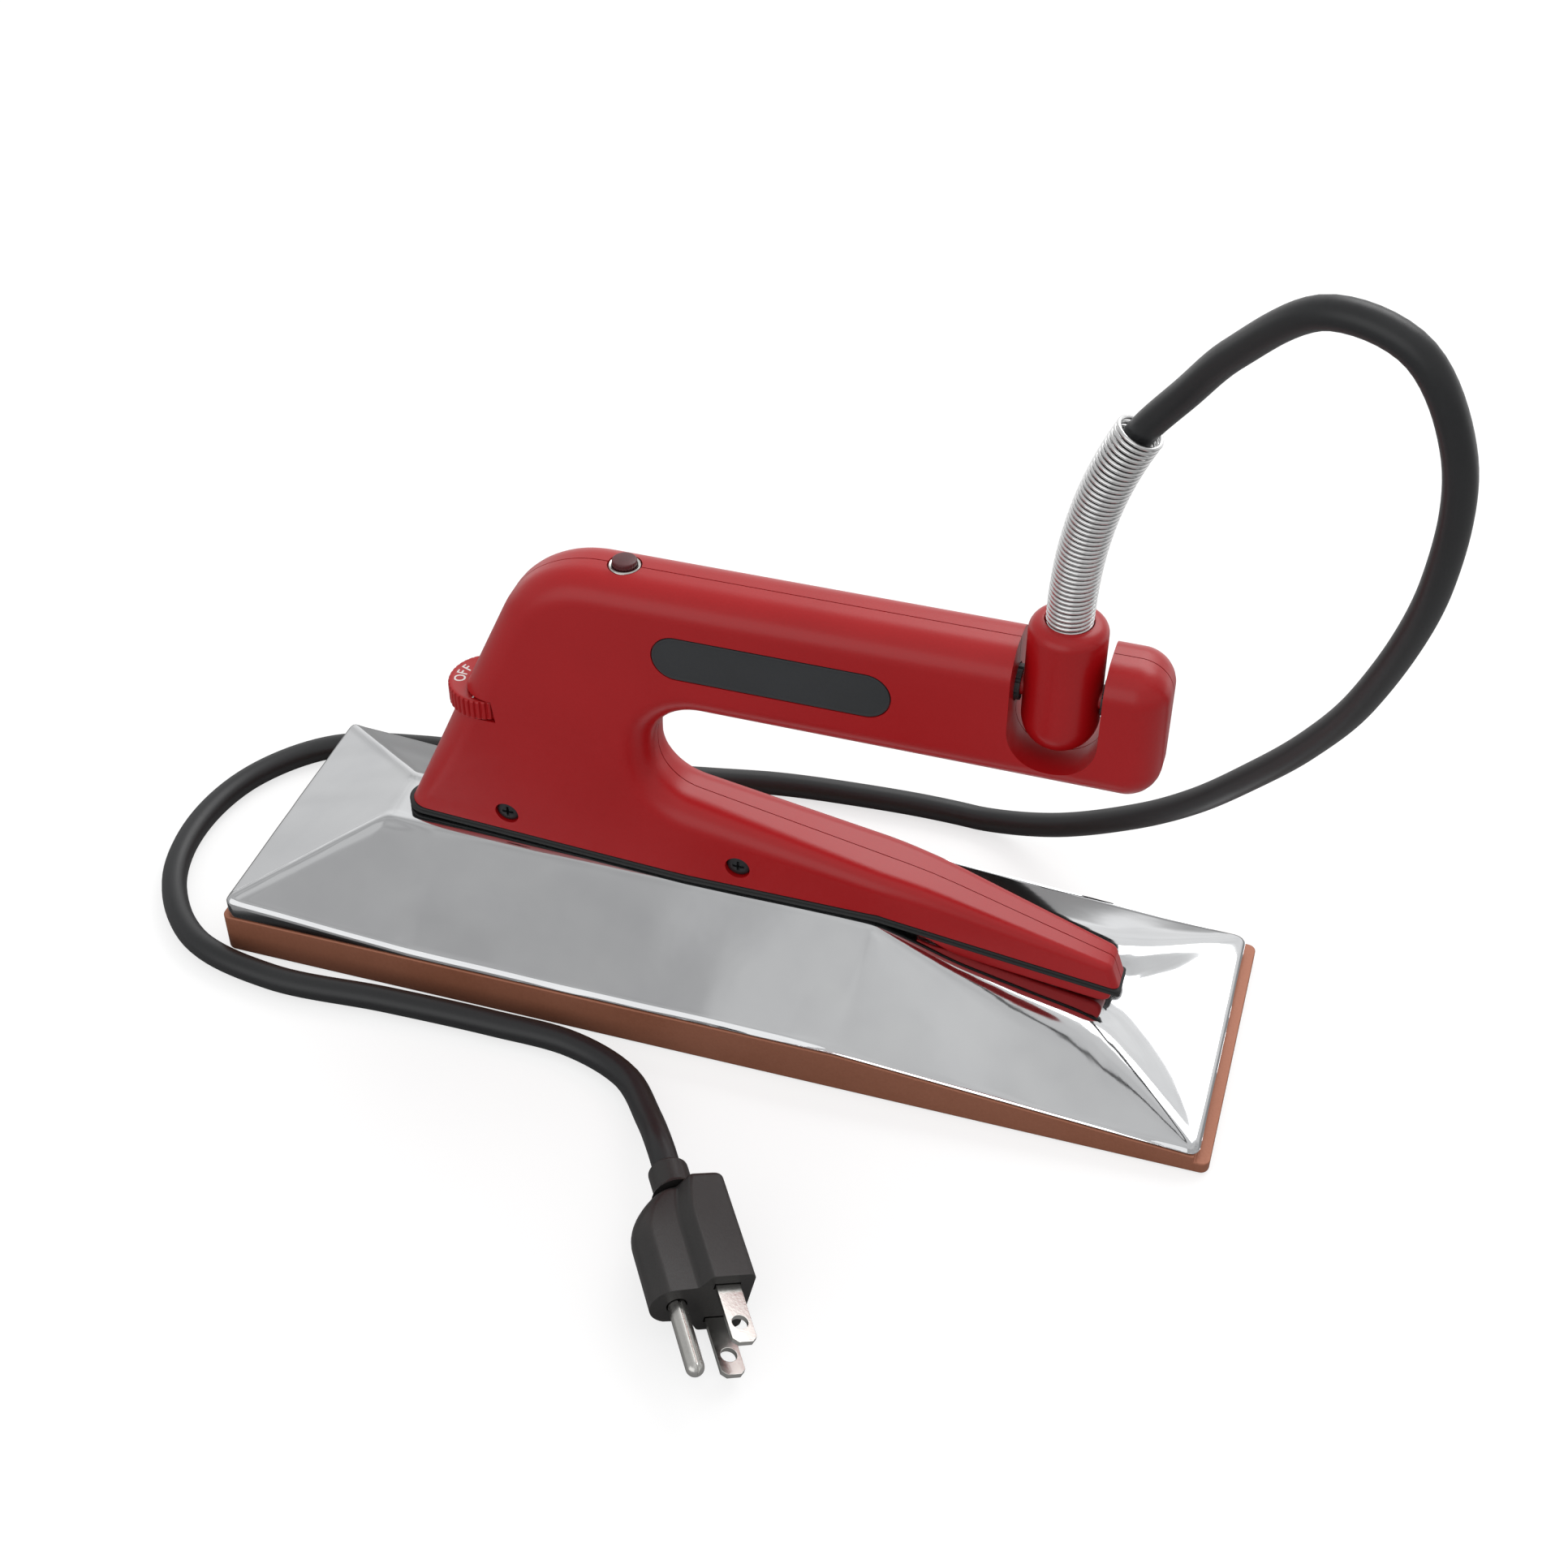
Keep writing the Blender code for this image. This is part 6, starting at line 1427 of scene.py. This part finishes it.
# Inner parts keep their CAD shape and get real finishes
INNER = {
    "heating_element": "element", "element_clamp_front": "zinc", "element_clamp_rear": "zinc",
    "clamp_screw_front": "zinc", "clamp_screw_rear": "zinc", "mounting_stud_front": "zinc",
    "mounting_stud_rear": "zinc", "stud_nut_front": "zinc", "stud_nut_rear": "zinc",
    "stud_spacer_front": "zinc", "stud_spacer_rear": "zinc", "clamp_bar": "zinc", "grip_screw": "zinc",
    "thermostat_bracket": "zinc", "thermostat_shaft": "zinc", "thermostat_body": "ceramic",
    "terminal_pin_live": "nickel", "terminal_pin_neutral": "nickel", "pilot_lamp": "glass",
    "lead_live": "sleeve", "lead_neutral": "sleeve", "lead_earth": "sleeve",
}


def inner_parts(finish):
    for name, kind in INNER.items():
        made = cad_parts[name]
        if not made.material_slots:
            made.data.materials.append(finish[kind])
        for slot in made.material_slots:
            slot.link = "OBJECT"
            slot.material = finish[kind]


# Floor, light and sky
FLOOR_REACH = 4
FLOOR_Z = -0.0002
LAMP_AIM = (0, 0, 0.05)


def floor():
    """A floor that the camera sees white, with the object's shadow; metal sees its back part as a backdrop."""
    paper = bpy.data.materials.new("pale_floor")
    paper.use_nodes = True
    tree = paper.node_tree
    tree.nodes.clear()
    diffuse = node(tree, "ShaderNodeBsdfDiffuse", {"Color": linear("#A8A8A8")})
    rays = node(tree, "ShaderNodeLightPath", {}).outputs
    place = node(tree, "ShaderNodeTexCoord", {}).outputs["Object"]
    depth = node(tree, "ShaderNodeSeparateXYZ", {"Vector": place}).outputs["Y"]
    sweep = node(tree, "ShaderNodeMapRange", {"Value": depth, "From Min": 0.12, "From Max": 0.50,
                                              "To Min": 0.0, "To Max": 0.7}, interpolation_type="SMOOTHSTEP")
    shown = node(tree, "ShaderNodeMath", {0: rays["Is Camera Ray"], 1: 0.72}, operation="MULTIPLY")
    mirror = node(tree, "ShaderNodeMath", {0: rays["Is Glossy Ray"], 1: rays["Is Transmission Ray"]},
                  operation="MAXIMUM")
    glow = node(tree, "ShaderNodeMath", {0: mirror.outputs[0], 1: sweep.outputs[0], 2: shown.outputs[0]},
                operation="MULTIPLY_ADD")
    lift = node(tree, "ShaderNodeEmission", {"Color": linear("#FFFFFF"), "Strength": glow.outputs[0]})
    both = node(tree, "ShaderNodeAddShader", {0: diffuse.outputs[0], 1: lift.outputs[0]})
    node(tree, "ShaderNodeOutputMaterial", {"Surface": both.outputs[0]})
    corners = ((-1, -1), (1, -1), (1, 1), (-1, 1))
    made = piece("floor", [(x * FLOOR_REACH, y * FLOOR_REACH, FLOOR_Z) for x, y in corners], [(0, 1, 2, 3)])
    made.data.materials.append(paper)


def sky():
    """A soft studio: grey overhead, with a broad white screen behind the iron."""
    world = bpy.data.worlds.new("studio")
    bpy.context.scene.world = world
    world.use_nodes = True
    tree = world.node_tree
    tree.nodes.clear()
    place = node(tree, "ShaderNodeTexCoord", {}).outputs["Generated"]
    toward = node(tree, "ShaderNodeVectorMath", {0: place, 1: (0, 0.97, 0.24)}, operation="DOT_PRODUCT")
    screen = node(tree, "ShaderNodeMapRange", {"Value": toward.outputs["Value"], "From Min": 0.45,
                                               "From Max": 0.90, "To Min": 0.55, "To Max": 1.0},
                  interpolation_type="SMOOTHSTEP")
    sides = node(tree, "ShaderNodeSeparateXYZ", {"Vector": place})
    panel = node(tree, "ShaderNodeMapRange", {"Value": sides.outputs["X"], "From Min": -0.27, "From Max": -0.19,
                                              "To Min": 0.0, "To Max": 0.17}, interpolation_type="SMOOTHSTEP")
    above = node(tree, "ShaderNodeMapRange", {"Value": sides.outputs["Z"], "From Min": 0.55, "From Max": 0.75},
                 interpolation_type="SMOOTHSTEP")
    both = node(tree, "ShaderNodeMath", {0: panel.outputs[0], 1: above.outputs[0], 2: screen.outputs[0]},
                operation="MULTIPLY_ADD")
    cloud = node(tree, "ShaderNodeTexNoise", {"Vector": place, "Scale": 7.0, "Detail": 2.0})
    uneven = node(tree, "ShaderNodeMapRange", {"Value": cloud.outputs["Fac"], "From Min": 0.3, "From Max": 0.7,
                                               "To Min": -0.07, "To Max": 0.07})
    studio = node(tree, "ShaderNodeMath", {0: both.outputs[0], 1: uneven.outputs[0]}, operation="ADD")
    seen = node(tree, "ShaderNodeLightPath", {}).outputs["Is Camera Ray"]
    level = node(tree, "ShaderNodeMix", {0: seen, 2: studio.outputs[0], 3: 1.0})
    light = node(tree, "ShaderNodeBackground", {"Color": linear("#FFFFFF"), "Strength": level.outputs[0]})
    node(tree, "ShaderNodeOutputWorld", {"Surface": light.outputs[0]})


def area_light(name, place, target, size, power):
    light = bpy.data.lights.new(name, "AREA")
    light.shape = "RECTANGLE"
    light.size, light.size_y = size
    light.energy = power
    made = bpy.data.objects.new(name, light)
    bpy.context.scene.collection.objects.link(made)
    made.location = place
    made.rotation_mode = "QUATERNION"
    made.rotation_quaternion = (Vector(target) - Vector(place)).to_track_quat("-Z", "Y")


def lights():
    area_light("back_softbox", (0.35, 1.05, 1.20), LAMP_AIM, (1.2, 0.8), 7.5)
    area_light("front_fill", (-0.45, -1.30, 0.50), LAMP_AIM, (1.7, 1.1), 4)


def build():
    finish = materials()
    camera()
    power_cord(finish, plug(finish))
    sole_plate(finish)
    heat_shield(finish)
    gasket(finish)
    tail_cover(finish)
    handle_shell(finish, "handle_label_side", -1, "handle_front_shell")
    handle_shell(finish, "handle_far_side", 1, "handle_back_shell")
    for name, x, z in SHELL_SCREWS:
        phillips_screw(finish, f"phillips_{name}", x, z, name)
    label(finish)
    dial_wheel(finish)
    dial_print(finish)
    pilot(finish)
    gland(finish)
    spring(finish)
    inner_parts(finish)
    floor()
    sky()
    lights()


build()
